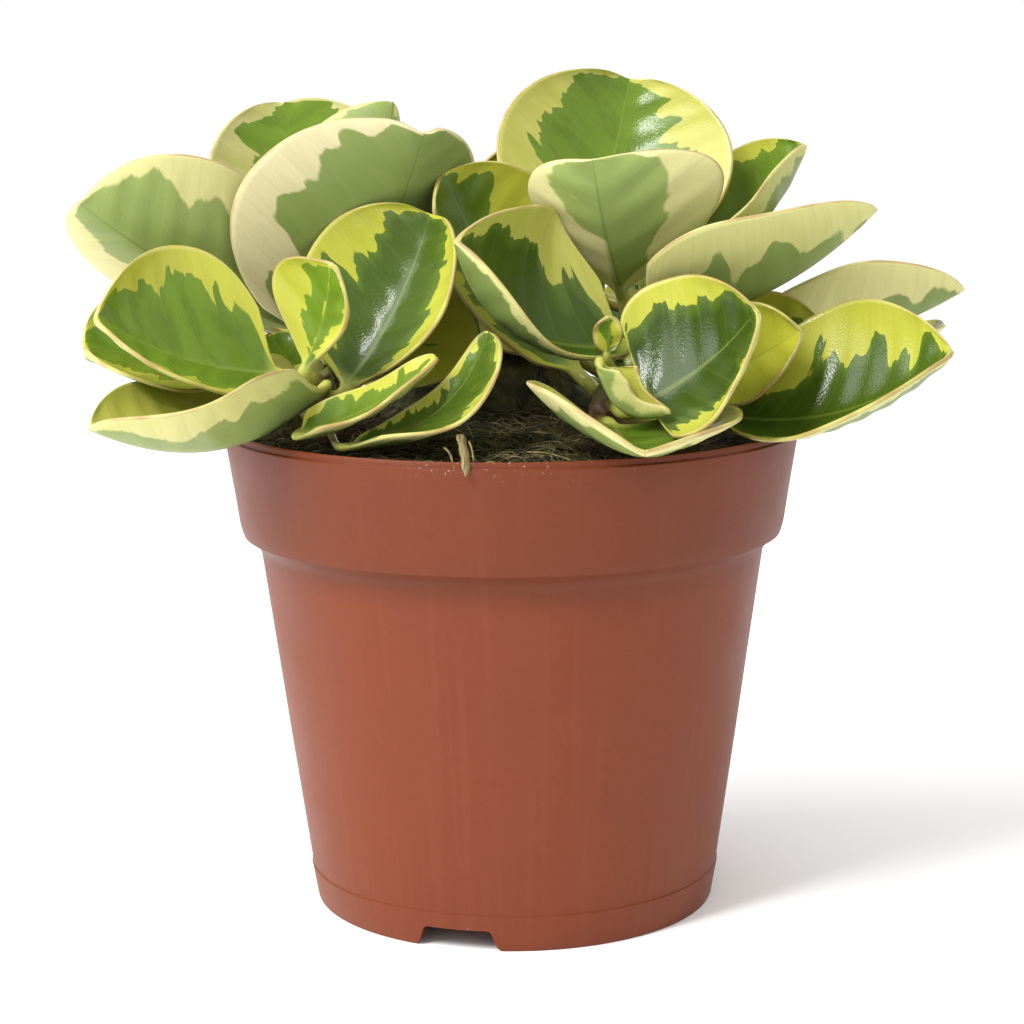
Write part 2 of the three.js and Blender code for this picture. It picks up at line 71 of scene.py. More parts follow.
radius, height = POT_OUTLINE[0]
bpy.ops.mesh.primitive_circle_add(vertices=POT_SIDES, radius=radius * MM, location=(0, 0, height * MM))
pot = bpy.context.object
pot.name = pot.data.name = "moulded_pot"
bpy.ops.object.mode_set(mode="EDIT")
bpy.ops.mesh.select_all(action="SELECT")
bpy.ops.mesh.edge_face_add()
bpy.ops.mesh.select_mode(type="EDGE")
bpy.ops.mesh.select_all(action="SELECT")
for new_radius, new_height in POT_OUTLINE[1:]:
    bpy.ops.mesh.extrude_edges_move()
    bpy.ops.transform.resize(value=(new_radius / radius, new_radius / radius, 1), center_override=(0, 0, 0))
    bpy.ops.transform.translate(value=(0, 0, (new_height - height) * MM))
    radius, height = new_radius, new_height
bpy.ops.mesh.edge_face_add()
bpy.ops.mesh.select_all(action="SELECT")
bpy.ops.mesh.normals_make_consistent(inside=False)
bpy.ops.object.mode_set(mode="OBJECT")
bpy.ops.object.transform_apply(location=True, rotation=True, scale=True)


def cut(piece, cutter):
    """Takes the cutter away from a piece, and deletes the cutter."""
    knife = piece.modifiers.new("cut", "BOOLEAN")
    knife.operation = "DIFFERENCE"
    knife.solver = "EXACT"
    knife.object = cutter
    bpy.context.view_layer.objects.active = piece
    bpy.ops.object.modifier_apply(modifier=knife.name)
    bpy.data.objects.remove(cutter)


def sliced(piece, cuts):
    """Cuts the upright edges of a piece of unit height evenly, so that it can be shaped row by row."""
    bpy.ops.object.transform_apply(location=True, rotation=False, scale=False)
    bpy.ops.object.mode_set(mode="EDIT")
    bpy.ops.mesh.select_mode(type="EDGE")
    shape = bmesh.from_edit_mesh(piece.data)
    for edge in shape.edges:
        edge.select_set(abs(edge.verts[0].co.z - edge.verts[1].co.z) > 0.5)
    bmesh.update_edit_mesh(piece.data)
    bpy.ops.mesh.subdivide(number_cuts=cuts)
    bpy.ops.object.mode_set(mode="OBJECT")


# The notch cutter reaches through the foot ring. It is (height, width), flared at the ground and rounded in
# at the top. One notch is at the front, a little to the left.
NOTCH_PROFILE = ((-1.0, 20.0), (0.0, 18.6), (0.4, 17.2), (0.9, 16.3), (1.6, 15.7), (3.2, 14.8), (3.9, 14.2),
                 (4.25, 13.5), (4.4, 12.4))
NOTCH_REACH = 10.0
NOTCHES = 3
FRONT_NOTCH_DEGREES = 254
for i in range(NOTCHES):
    angle = math.radians(FRONT_NOTCH_DEGREES + 360 / NOTCHES * i)
    bpy.ops.object.select_all(action="DESELECT")
    bpy.ops.mesh.primitive_cube_add(size=1, location=(0, 0, 0.5))
    notch = bpy.context.object
    sliced(notch, len(NOTCH_PROFILE) - 2)
    for vertex in notch.data.vertices:
        level, wide = NOTCH_PROFILE[round(vertex.co.z * (len(NOTCH_PROFILE) - 1))]
        vertex.co = Vector((NOTCH_REACH * vertex.co.x, wide * vertex.co.y, level)) * MM
    notch.matrix_world = Matrix.Rotation(angle, 4, "Z") @ Matrix.Translation((FOOT_RADIUS * MM, 0, 0))
    bpy.context.view_layer.update()
    cut(pot, notch)

DRAINS = 6
DRAIN_RADIUS = 3.5
DRAIN_CIRCLE = 27.0
DRAIN_CUTTER = 8.0
for i in range(DRAINS):
    angle = math.radians(360 / DRAINS * i)
    at = Vector((DRAIN_CIRCLE * math.cos(angle), DRAIN_CIRCLE * math.sin(angle), (FLOOR_UNDER + FLOOR_TOP) / 2))
    bpy.ops.mesh.primitive_cylinder_add(vertices=40, radius=DRAIN_RADIUS * MM, depth=DRAIN_CUTTER * MM,
                                        location=at * MM)
    cut(pot, bpy.context.object)


def linear(hex_colour):
    """An sRGB hex colour as linear RGBA."""
    parts = [int(hex_colour[i:i + 2], 16) / 255 for i in (1, 3, 5)]
    return (*(p / 12.92 if p <= 0.04045 else ((p + 0.055) / 1.055) ** 2.4 for p in parts), 1.0)


def feed(tree, made, links):
    """Sets a node's inputs, each to a value, to another node's first output or to an output."""
    for key, value in links.items():
        if isinstance(value, bpy.types.Node):
            value = value.outputs[0]
        if isinstance(value, bpy.types.NodeSocket):
            tree.links.new(value, made.inputs[key])
        else:
            made.inputs[key].default_value = value


def node(tree, kind, links=None, **settings):
    """Adds a shader node with its settings and links."""
    made = tree.nodes.new("ShaderNode" + kind)
    for name, value in settings.items():
        setattr(made, name, value)
    feed(tree, made, links or {})
    return made


def material(name):
    """An empty material, with its node tree, its surface shader and the object's own coordinates."""
    made = bpy.data.materials.new(name)
    made.use_nodes = True
    place = node(made.node_tree, "TexCoord").outputs["Object"]
    return made, made.node_tree, made.node_tree.nodes["Principled BSDF"], place


# Injection-moulded polypropylene, brown with an orange cast. It is satin, with faint upright flow streaks,
# slow cloudy patches where the melt cooled unevenly, and pale peat dust on the rim at the front.
polypropylene, tree, surface, place = material("Moulded brown polypropylene")
xyz = node(tree, "SeparateXYZ", {0: place})
around = node(tree, "VectorMath", {0: place, 1: (1, 1, 0)}, operation="MULTIPLY")
around = node(tree, "VectorMath", {0: around}, operation="NORMALIZE")
# The streaks are about 2 mm wide round a wall of 50 mm radius, and 60 mm long.
upright = node(tree, "Math", {0: xyz.outputs["Z"], 1: 1 / (60 * MM)}, operation="MULTIPLY")
flow = node(tree, "VectorMath", {0: around, 1: (25, 25, 25)}, operation="MULTIPLY")
upright = node(tree, "CombineXYZ", {"Z": upright})
flow = node(tree, "VectorMath", {0: flow, 1: upright}, operation="ADD")
streaks = node(tree, "TexNoise", {"Vector": flow, "Scale": 1.0, "Detail": 3.0})
clouds = node(tree, "TexNoise", {"Vector": place, "Scale": 1 / (22 * MM), "Detail": 3.0})
mottle = node(tree, "TexNoise", {"Vector": place, "Scale": 1 / (1.3 * MM), "Detail": 2.0})
tone = node(tree, "Mix", {0: clouds, 6: linear("#6a2e16"), 7: linear("#753618")}, data_type="RGBA")
streaky = node(tree, "MapRange", {0: streaks, 1: 0.52, 2: 0.72, 3: 0.0, 4: 0.12})
grain = node(tree, "MapRange", {0: mottle, 1: 0.35, 2: 0.65, 3: 0.0, 4: 0.10})
# Tiny pale nicks, about 12 mm apart and 0.3 mm wide.
nicks = node(tree, "TexVoronoi", {"Vector": place, "Scale": 1 / (12 * MM)})
nicks = node(tree, "MapRange", {0: nicks, 1: 0.024, 2: 0.012, 3: 0.0, 4: 0.5})
# Painted shade: the rim band is darkened a little against the body, and more in the bend under it, where the
# band's shadow falls.
painted_bend_shade = node(tree, "MapRange", {0: xyz.outputs["Z"], 1: 71 * MM, 2: 77.5 * MM, 3: 0.0, 4: 0.34})
painted_band_shade = node(tree, "MapRange", {0: xyz.outputs["Z"], 1: 78.9 * MM, 2: 79.2 * MM, 3: 1.0, 4: 0.24})
painted_band_shade = node(tree, "Math", {0: painted_bend_shade, 1: painted_band_shade}, operation="MINIMUM")
# Dust lies on the lip and the top of the band, most of all at the front by the straw.
dust_front = node(tree, "MapRange", {0: xyz.outputs["Y"], 1: -50 * MM, 2: -59 * MM, 3: 0.12, 4: 1.0})
dust_patch = node(tree, "Math", {0: xyz.outputs["X"], 1: 6.5 * MM}, operation="ADD")
dust_patch = node(tree, "Math", {0: dust_patch}, operation="ABSOLUTE")
dust_patch = node(tree, "MapRange", {0: dust_patch, 1: 16 * MM, 2: 7 * MM, 3: 0.3, 4: 1.0})
dust_front = node(tree, "Math", {0: dust_front, 1: dust_patch}, operation="MULTIPLY")
dust_high = node(tree, "MapRange", {0: xyz.outputs["Z"], 1: 96.5 * MM, 2: 100.5 * MM})
specks = node(tree, "TexNoise", {"Vector": place, "Scale": 1 / (1.1 * MM), "Detail": 5.0, "Roughness": 0.75})
specks = node(tree, "MapRange", {0: specks, 1: 0.61, 2: 0.66})
dusty = node(tree, "Math", {0: dust_front, 1: dust_high}, operation="MULTIPLY")
dusty = node(tree, "Math", {0: dusty, 1: specks}, operation="MULTIPLY")
# Over the plain brown lie the streaks, the grain, the nicks, the painted shade on and under the band, and the
# dust.
for amount, colour in ((streaky, "#864c33"), (grain, "#54281c"), (nicks, "#a98472"), (painted_band_shade, "#431d0f"),
                       (dusty, "#9c8776")):
    tone = node(tree, "Mix", {0: amount, 6: tone.outputs[2], 7: linear(colour)}, data_type="RGBA")
satin = node(tree, "MapRange", {0: clouds, 1: 0.3, 2: 0.7, 3: 0.44, 4: 0.54})
relief = node(tree, "Math", {0: streaks, 1: mottle}, operation="ADD")
bump = node(tree, "Bump", {"Height": relief, "Strength": 0.10, "Distance": 0.15 * MM})
feed(tree, surface, {"Base Color": tone.outputs[2], "Roughness": satin, "IOR": 1.49, "Specular IOR Level": 0.25,
                     "Normal": bump})
pot.data.materials.append(polypropylene)
bpy.ops.object.select_all(action="DESELECT")
pot.select_set(True)
bpy.context.view_layer.objects.active = pot
bpy.ops.object.shade_smooth_by_angle(angle=math.radians(SHARP_DEGREES))
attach(pot, "root")
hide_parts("pot")


# --- Soil --------------------------------------------------------------------------------------------------
# Moist peat fills the pot to just under the lip. Its top is crumbly and crowned, and it was pressed in round the
# plugs that the shoots were raised in.

SOIL_EDGE = 98.6
SOIL_CROWN = 3.0
SOIL_RADIUS = 57.75
CROWN_RADIUS = 58.6
SOIL_DISC = 2.0
SOIL_RINGS = 44
SOIL_RING_STEP = 1.28


def soil_height(x, y):
    """The height of the soil's top at a point of the pot, as the CAD solid has it."""
    share = min(math.hypot(x, y) / CROWN_RADIUS, 1)
    bumps = math.sin(x / 6 + 1.3) * math.cos(y / 7) + 0.6 * math.sin(x / 3.1 - y / 3.7)
    inward = min((1 - share) / 0.3, 1)
    return SOIL_EDGE + SOIL_CROWN * (1 - share * share) + 0.8 * bumps * inward * inward * (3 - 2 * inward)


bpy.ops.object.select_all(action="DESELECT")
bpy.ops.mesh.primitive_cylinder_add(vertices=160, radius=SOIL_RADIUS * MM, depth=SOIL_DISC * MM,
                                    location=(0, 0, (SOIL_EDGE - SOIL_DISC / 2) * MM))
soil = bpy.context.object
soil.name = soil.data.name = "peat_soil"
bpy.ops.object.transform_apply(location=True, rotation=False, scale=False)
bpy.ops.object.mode_set(mode="EDIT")
bpy.ops.mesh.select_mode(type="FACE")
top = bmesh.from_edit_mesh(soil.data)
for face in top.faces:
    face.select_set(face.normal.z > 0.9)
bmesh.update_edit_mesh(soil.data)
for _ in range(SOIL_RINGS):
    bpy.ops.mesh.inset(thickness=SOIL_RING_STEP * MM, depth=0)
bpy.ops.mesh.poke()
bpy.ops.object.mode_set(mode="OBJECT")
# Crumbs: rough lumps of 2 to 5 mm with a finer broken grain on them.
for vertex in soil.data.vertices:
    if vertex.co.z > (SOIL_EDGE - SOIL_DISC / 2) * MM:
        x, y = vertex.co.x / MM, vertex.co.y / MM
        lumps = 0.9 * noise.fractal(Vector((x / 3.4, y / 3.4, 4)), 0.9, 2.2, 3)
        inside = min(max((SOIL_RADIUS - math.hypot(x, y)) / 2.5, 0), 1)
        vertex.co.z = (soil_height(x, y) - 0.5 + lumps * inside - 1.2 * (1 - inside)) * MM

# Wet peat: near black in the hollows, dull umber on the crumbs, with a few pale fibres. It stays matt.
peat, tree, surface, place = material("Moist peat")
crumbs = node(tree, "TexNoise", {"Vector": place, "Scale": 1 / (2.2 * MM), "Detail": 6.0, "Roughness": 0.7})
fibres = node(tree, "TexVoronoi", {"Vector": place, "Scale": 1 / (1.6 * MM)}, feature="DISTANCE_TO_EDGE")
dark = node(tree, "MapRange", {0: crumbs, 1: 0.36, 2: 0.68})
tone = node(tree, "Mix", {0: dark, 6: linear("#171008"), 7: linear("#4a3a20")}, data_type="RGBA")
pale = node(tree, "MapRange", {0: fibres, 1: 0.05, 2: 0.0, 3: 0.0, 4: 0.25})
tone = node(tree, "Mix", {0: pale, 6: tone.outputs[2], 7: linear("#473e26")}, data_type="RGBA")
bump = node(tree, "Bump", {"Height": crumbs, "Strength": 0.8, "Distance": 0.7 * MM})
feed(tree, surface, {"Base Color": tone.outputs[2], "Roughness": 0.9, "Specular IOR Level": 0.3, "Normal": bump})
soil.data.materials.append(peat)
bpy.ops.object.shade_smooth()
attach(soil, "root")
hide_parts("soil")


# --- Moss --------------------------------------------------------------------------------------------------
# Fine thread moss, dry peat fibres and a few flakes of old straw lie loose over the soil, thickest between
# the shoots. The moss is olive and the rest is brown.

# The moss is heaped behind the middle and by the left wall: middle (x, y), half sizes and height. The heap behind
# the middle is thread moss and also painted shade: a dark mound put where the inside of the plant lies in shadow.
MOSS_HEAPS = (("middle_moss_heap", (-4, 24), (24, 13), 14.0), ("left_moss_heap", (-47, 6), (7, 9), 8.5))


def moss_height(x, y):
    """The height of the soil's top with the moss heaps on it."""
    over = 0
    for _, (hx, hy), (a, b), tall in MOSS_HEAPS:
        over = max(over, tall * (1 - ((x - hx) / a) ** 2 - ((y - hy) / b) ** 2))
    return soil_height(x, y) + over


heaps = []
for name, (hx, hy), (a, b), tall in MOSS_HEAPS:
    bpy.ops.object.select_all(action="DESELECT")
    bpy.ops.mesh.primitive_uv_sphere_add(segments=64, ring_count=40, radius=1, location=(0, 0, 0))
    heap = bpy.context.object
    heap.name = heap.data.name = name
    for vertex in heap.data.vertices:
        x, y, z = vertex.co
        px, py = hx + x * a * 1.05, hy + y * b * 1.05
        tuft = 0.8 * noise.fractal(Vector((px / 1.6, py / 1.6, 9)), 0.9, 2.2, 3) if z > 0 else -2.5
        vertex.co = Vector((px, py, (moss_height(px, py) if z > 0 else soil_height(px, py)) + tuft)) * MM
    bpy.ops.object.shade_smooth()
    heaps.append(heap)


def strand_blank(name, sides, cuts):
    """A thin upright prism of unit height, cut across so that it can be bent."""
    bpy.ops.object.select_all(action="DESELECT")
    bpy.ops.mesh.primitive_cylinder_add(vertices=sides, radius=1, depth=1, location=(0, 0, 0.5))
    blank = bpy.context.object
    blank.name = name
    sliced(blank, cuts)
    return blank


def copied(blank, name):
    """A copy of a blank with a mesh of its own."""
    piece = blank.copy()
    piece.data = blank.data.copy()
    piece.name = piece.data.name = name
    bpy.context.scene.collection.objects.link(piece)
    return piece


def mossy_place(rng):
    """A place on the soil, more often towards the front wall and behind the middle."""
    while True:
        chance = rng.random()
        if chance < 0.4:
            x, y = rng.gauss(-8, 15), rng.gauss(-30, 16)
        elif chance < 0.6:
            x, y = rng.gauss(-4, 12), rng.gauss(22, 8)
        else:
            x, y = rng.uniform(-57, 57), rng.uniform(-57, 57)
        if math.hypot(x, y) < SOIL_RADIUS - 1.5:
            return x, y


STRAND_STEPS = 8


def laid_strands(name, blank, count, seed, length, thickness, lift):
    """Copies of a strand laid over the soil along wandering lines, as one mesh."""
    rng = random.Random(seed)
    mats = bmesh.new()
    limit = SOIL_RADIUS - 0.9
    for _ in range(count):
        px, py = mossy_place(rng)
        way = rng.uniform(0, math.tau)
        turn = rng.gauss(0, 0.22)
        long = rng.uniform(*length)
        thick = rng.uniform(*thickness)
        rise = rng.uniform(*lift)
        start = len(mats.verts)
        mats.from_mesh(blank.data)
        mats.verts.ensure_lookup_table()
        line = []
        for _ in range(STRAND_STEPS + 1):
            line.append((px, py))
            px += math.cos(way) * long / STRAND_STEPS
            py += math.sin(way) * long / STRAND_STEPS
            way += turn + rng.gauss(0, 0.18)
        for vertex in mats.verts[start:]:
            share = vertex.co.z * STRAND_STEPS
            i = min(int(share), STRAND_STEPS - 1)
            part = share - i
            cx = line[i][0] * (1 - part) + line[i + 1][0] * part
            cy = line[i][1] * (1 - part) + line[i + 1][1] * part
            far = math.hypot(cx, cy)
            if far > limit:
                cx, cy = cx * limit / far, cy * limit / far
            dx, dy = line[i + 1][0] - line[i][0], line[i + 1][1] - line[i][1]
            size = math.hypot(dx, dy)
            taper = thick * (1 - 0.7 * vertex.co.z)
            across = vertex.co.x * taper
            arc = rise * math.sin(math.pi * min(vertex.co.z * 1.1, 1))
            ground = moss_height(cx, cy)
            vertex.co = Vector((cx - dy / size * across, cy + dx / size * across,
                                ground + 0.1 + arc + vertex.co.y * taper)) * MM
    mesh = bpy.data.meshes.new(name)
    mats.to_mesh(mesh)
    mats.free()
    mesh.shade_smooth()
    piece = bpy.data.objects.new(name, mesh)
    bpy.context.scene.collection.objects.link(piece)
    return piece


def smooth(x, low, high):
    """0 below low, 1 above high and an even S between them."""
    share = np.clip((x - low) / (high - low), 0, 1)
    return share * share * (3 - 2 * share)


# Flakes of old straw that stand out of the moss, one of them over the lip: their two ends and the width.
STRAWS = (((-9.5, -52.2, 105.9), (-8.2, -60.8, 99.7), 1.9), ((-8.0, -52.6, 104.6), (-7.0, -59.6, 101.9), 0.4),
          ((-12.6, -52.4, 103.4), (-11.0, -56.3, 101.0), 0.5), ((3.0, -49.0, 102.0), (11.5, -51.5, 100.6), 0.5))
straw_blank = strand_blank("straw_blank", 10, 9)
straws = []
for number, (top_end, low_end, wide) in enumerate(STRAWS):
    straw = copied(straw_blank, f"straw_flake_{number + 1}")
    run = Vector(low_end) - Vector(top_end)
    wide_way = run.cross(Vector((0, 0.5, 1))).normalized()
    thick_way = wide_way.cross(run).normalized()
    for vertex in straw.data.vertices:
        share = vertex.co.z
        ragged = 1 - 0.5 * smooth(share, 0.8, 1.0) + 0.12 * math.sin(share * 17 + number)
        at = Vector(top_end) + run * (share + 0.06 * vertex.co.x * smooth(share, 0.8, 1.0))
        bow = 0.5 * math.sin(math.pi * share) - 0.22 * wide * vertex.co.x ** 2
        over = wide_way * vertex.co.x * wide / 2 * ragged + thick_way * (bow + vertex.co.y * 0.16)
        vertex.co = (at + over) * MM
    straw.data.shade_smooth()
    straws.append(straw)
bpy.data.objects.remove(straw_blank)

# Threads of 4 to 11 mm and fibres of 5 to 22 mm, with their radius and how far they arch up.
thread = strand_blank("thread", 4, 7)
moss = laid_strands("thread_moss", thread, 1250, 11, (4, 11), (0.09, 0.20), (0.1, 1.7))
dry = laid_strands("dry_fibres", thread, 300, 12, (5, 22), (0.09, 0.26), (0.1, 1.8))
bpy.data.objects.remove(thread)

# Living thread moss: dull olive with yellow-green new growth, changing every few millimetres.
moss_green, tree, surface, place = material("Thread moss")
patches = node(tree, "TexNoise", {"Vector": place, "Scale": 1 / (4 * MM), "Detail": 4.0})
growth = node(tree, "MapRange", {0: patches, 1: 0.38, 2: 0.66})
tone = node(tree, "Mix", {0: growth, 6: linear("#282611"), 7: linear("#626029")}, data_type="RGBA")
feed(tree, surface, {"Base Color": tone.outputs[2], "Roughness": 0.75})
moss.data.materials.append(moss_green)
# Dried fibres: brown to straw, duller than the moss.
fibre_brown, tree, surface, place = material("Dried peat fibre")
patches = node(tree, "TexNoise", {"Vector": place, "Scale": 1 / (3 * MM), "Detail": 4.0})
age = node(tree, "MapRange", {0: patches, 1: 0.4, 2: 0.68})
tone = node(tree, "Mix", {0: age, 6: linear("#33281a"), 7: linear("#8c7c52")}, data_type="RGBA")
feed(tree, surface, {"Base Color": tone.outputs[2], "Roughness": 0.8})
dry.data.materials.append(fibre_brown)
# Old straw: brown with pale fibres along it, about 0.3 mm apart.
old_straw, tree, surface, place = material("Old straw")
grain = (1 / (0.3 * MM), 1 / (4 * MM), 1 / (4 * MM))
grain = node(tree, "VectorMath", {0: place, 1: grain}, operation="MULTIPLY")
grain = node(tree, "TexNoise", {"Vector": grain, "Scale": 1.0, "Detail": 3.0})
grain = node(tree, "MapRange", {0: grain, 1: 0.36, 2: 0.66})
tone = node(tree, "Mix", {0: grain, 6: linear("#473b1f"), 7: linear("#8d7c49")}, data_type="RGBA")
feed(tree, surface, {"Base Color": tone.outputs[2], "Roughness": 0.7})
for straw in straws:
    straw.data.materials.append(old_straw)
for heap in heaps:
    heap.data.materials.append(moss_green)
for piece in (moss, dry, *heaps, *straws):
    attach(piece, "root")


# --- Stems -------------------------------------------------------------------------------------------------
# Each shoot is a short fleshy stem, round and jointed, that stands in the soil and ends in a growing bud.
# It is wine red and speckled low down and turns green towards the young leaves.

STEM_RADIUS = 3.0
STEM_FOOT = 86.6
STEM_BEND = 106.6
# Each shoot's place on the soil and the top of its stem.
SHOOTS = {
    "front_left": ((-37, -14), (-40, -15, 114)),
    "back_left": ((-38, 17), (-41, 19, 122)),
    "front_right": ((17, -15), (24, -16, 114)),
    "back_right": ((23, 13), (28, 11, 129)),
    "back": ((8, 36), (7, 38, 125)),
}


def bezier(points, share):
    """The point of a cubic curve at a share of its length, and the way that it runs there."""
    a, b, c, d = (np.array(p, float) for p in points)
    rest = 1 - share
    point = rest ** 3 * a + 3 * rest ** 2 * share * b + 3 * rest * share ** 2 * c + share ** 3 * d
    way = 3 * rest ** 2 * (b - a) + 6 * rest * share * (c - b) + 3 * share ** 2 * (d - c)
    return point, way / np.linalg.norm(way)


def stem_curve(shoot):
    """The four points of a stem's axis, from under the soil to its top."""
    (x, y), top_point = SHOOTS[shoot]
    low, painted_bend_shade, top_point = np.array([x, y, STEM_FOOT]), np.array([x, y, STEM_BEND]), np.array(top_point, float)
    return low, painted_bend_shade, (painted_bend_shade + top_point) / 2, top_point


# The bud's outline over the stem's top, as (radius, height).
BUD = ((3.0, -2.6), (2.75, -2.0), (2.55, -1.2), (2.6, 0.0), (2.55, 1.0), (2.2, 2.1), (1.6, 3.1), (0.9, 3.9),
       (0.25, 4.5))
STEM_SIDES = 24
STEM_ROWS = 54
stem_blank = strand_blank("stem_blank", STEM_SIDES, STEM_ROWS - 1)
stems = []
for number, shoot in enumerate(SHOOTS):
    stem = copied(stem_blank, f"{shoot}_shoot_stem")
    curve = stem_curve(shoot)
    rows = STEM_ROWS - len(BUD)
    for vertex in stem.data.vertices:
        row = round(vertex.co.z * STEM_ROWS)
        share = min(row / rows, 1)
        point, way = bezier(curve, share)
        side = np.cross(way, (0, 1, 0))
        side /= np.linalg.norm(side)
        other = np.cross(way, side)
        if row <= rows:
            # Swollen rings where older leaves stood, about 5 mm apart.
            size = STEM_RADIUS * (1 + 0.10 * max(0, math.sin(share * 26 + number)) ** 6)
        else:
            size, above = BUD[row - rows - 1]
            point = point + way * above
        angle = math.atan2(vertex.co.y, vertex.co.x)
        cleft = 1 - (0.14 * abs(math.cos(angle)) ** 8 if row > rows + 1 else 0)
        vertex.co = Vector(point + (side * math.cos(angle) - other * math.sin(angle)) * size * cleft) * MM
    stems.append(stem)
bpy.data.objects.remove(stem_blank)

# Fleshy stem skin: wine red below, with pale speckles of about 1 mm, and yellow-green at the bud.
stem_skin, tree, surface, place = material("Fleshy stem skin")
xyz = node(tree, "SeparateXYZ", {0: place})
specks = node(tree, "TexNoise", {"Vector": place, "Scale": 1 / (1.2 * MM), "Detail": 3.0})
young = node(tree, "MapRange", {0: xyz.outputs["Z"], 1: 103 * MM, 2: 116 * MM})
tone = node(tree, "Mix", {0: young, 6: linear("#603b31"), 7: linear("#7c863f")}, data_type="RGBA")
pale = node(tree, "MapRange", {0: specks, 1: 0.52, 2: 0.66, 3: 0.0, 4: 0.55})
tone = node(tree, "Mix", {0: pale, 6: tone.outputs[2], 7: linear("#926f52")}, data_type="RGBA")
bump = node(tree, "Bump", {"Height": specks, "Strength": 0.25, "Distance": 0.2 * MM})
feed(tree, surface, {"Base Color": tone.outputs[2], "Roughness": 0.4, "Normal": bump})
for stem, shoot in zip(stems, SHOOTS):
    stem.data.shade_smooth()
    stem.data.materials.append(stem_skin)
    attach(stem, "root")
    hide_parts(f"stem_{shoot}")


# --- Leaves ------------------------------------------------------------------------------------------------
# Thick waxy blades on short round stalks, cupped along a sunken midrib. The middle is green in jagged lobes
# that follow the side veins, and the margin is yellow to cream with a thin reddish edge.

LEAF_COLUMNS = 27
LEAF_RING = 2 * LEAF_COLUMNS + 2
STALK_ROWS = 14
BLADE_ROWS = 62
LEAF_ROWS = STALK_ROWS + BLADE_ROWS
STALK_RADIUS = 1.5
MIDDLE_THICK = 1.3
EDGE_THICK = 0.8
RIB_DEPTH = 0.9
# The side veins' spacing, and how far they run forward for each mm away from the midrib.
VEIN_SPACING = 7.0
VEIN_LEAN = 0.55
USUAL = {"sides": (1, 1), "twist": 0, "wave": 0.4, "notch": 0, "widest": 0.56, "blunt": 0.5, "lead": 0.4,
         "stalk": STALK_RADIUS}
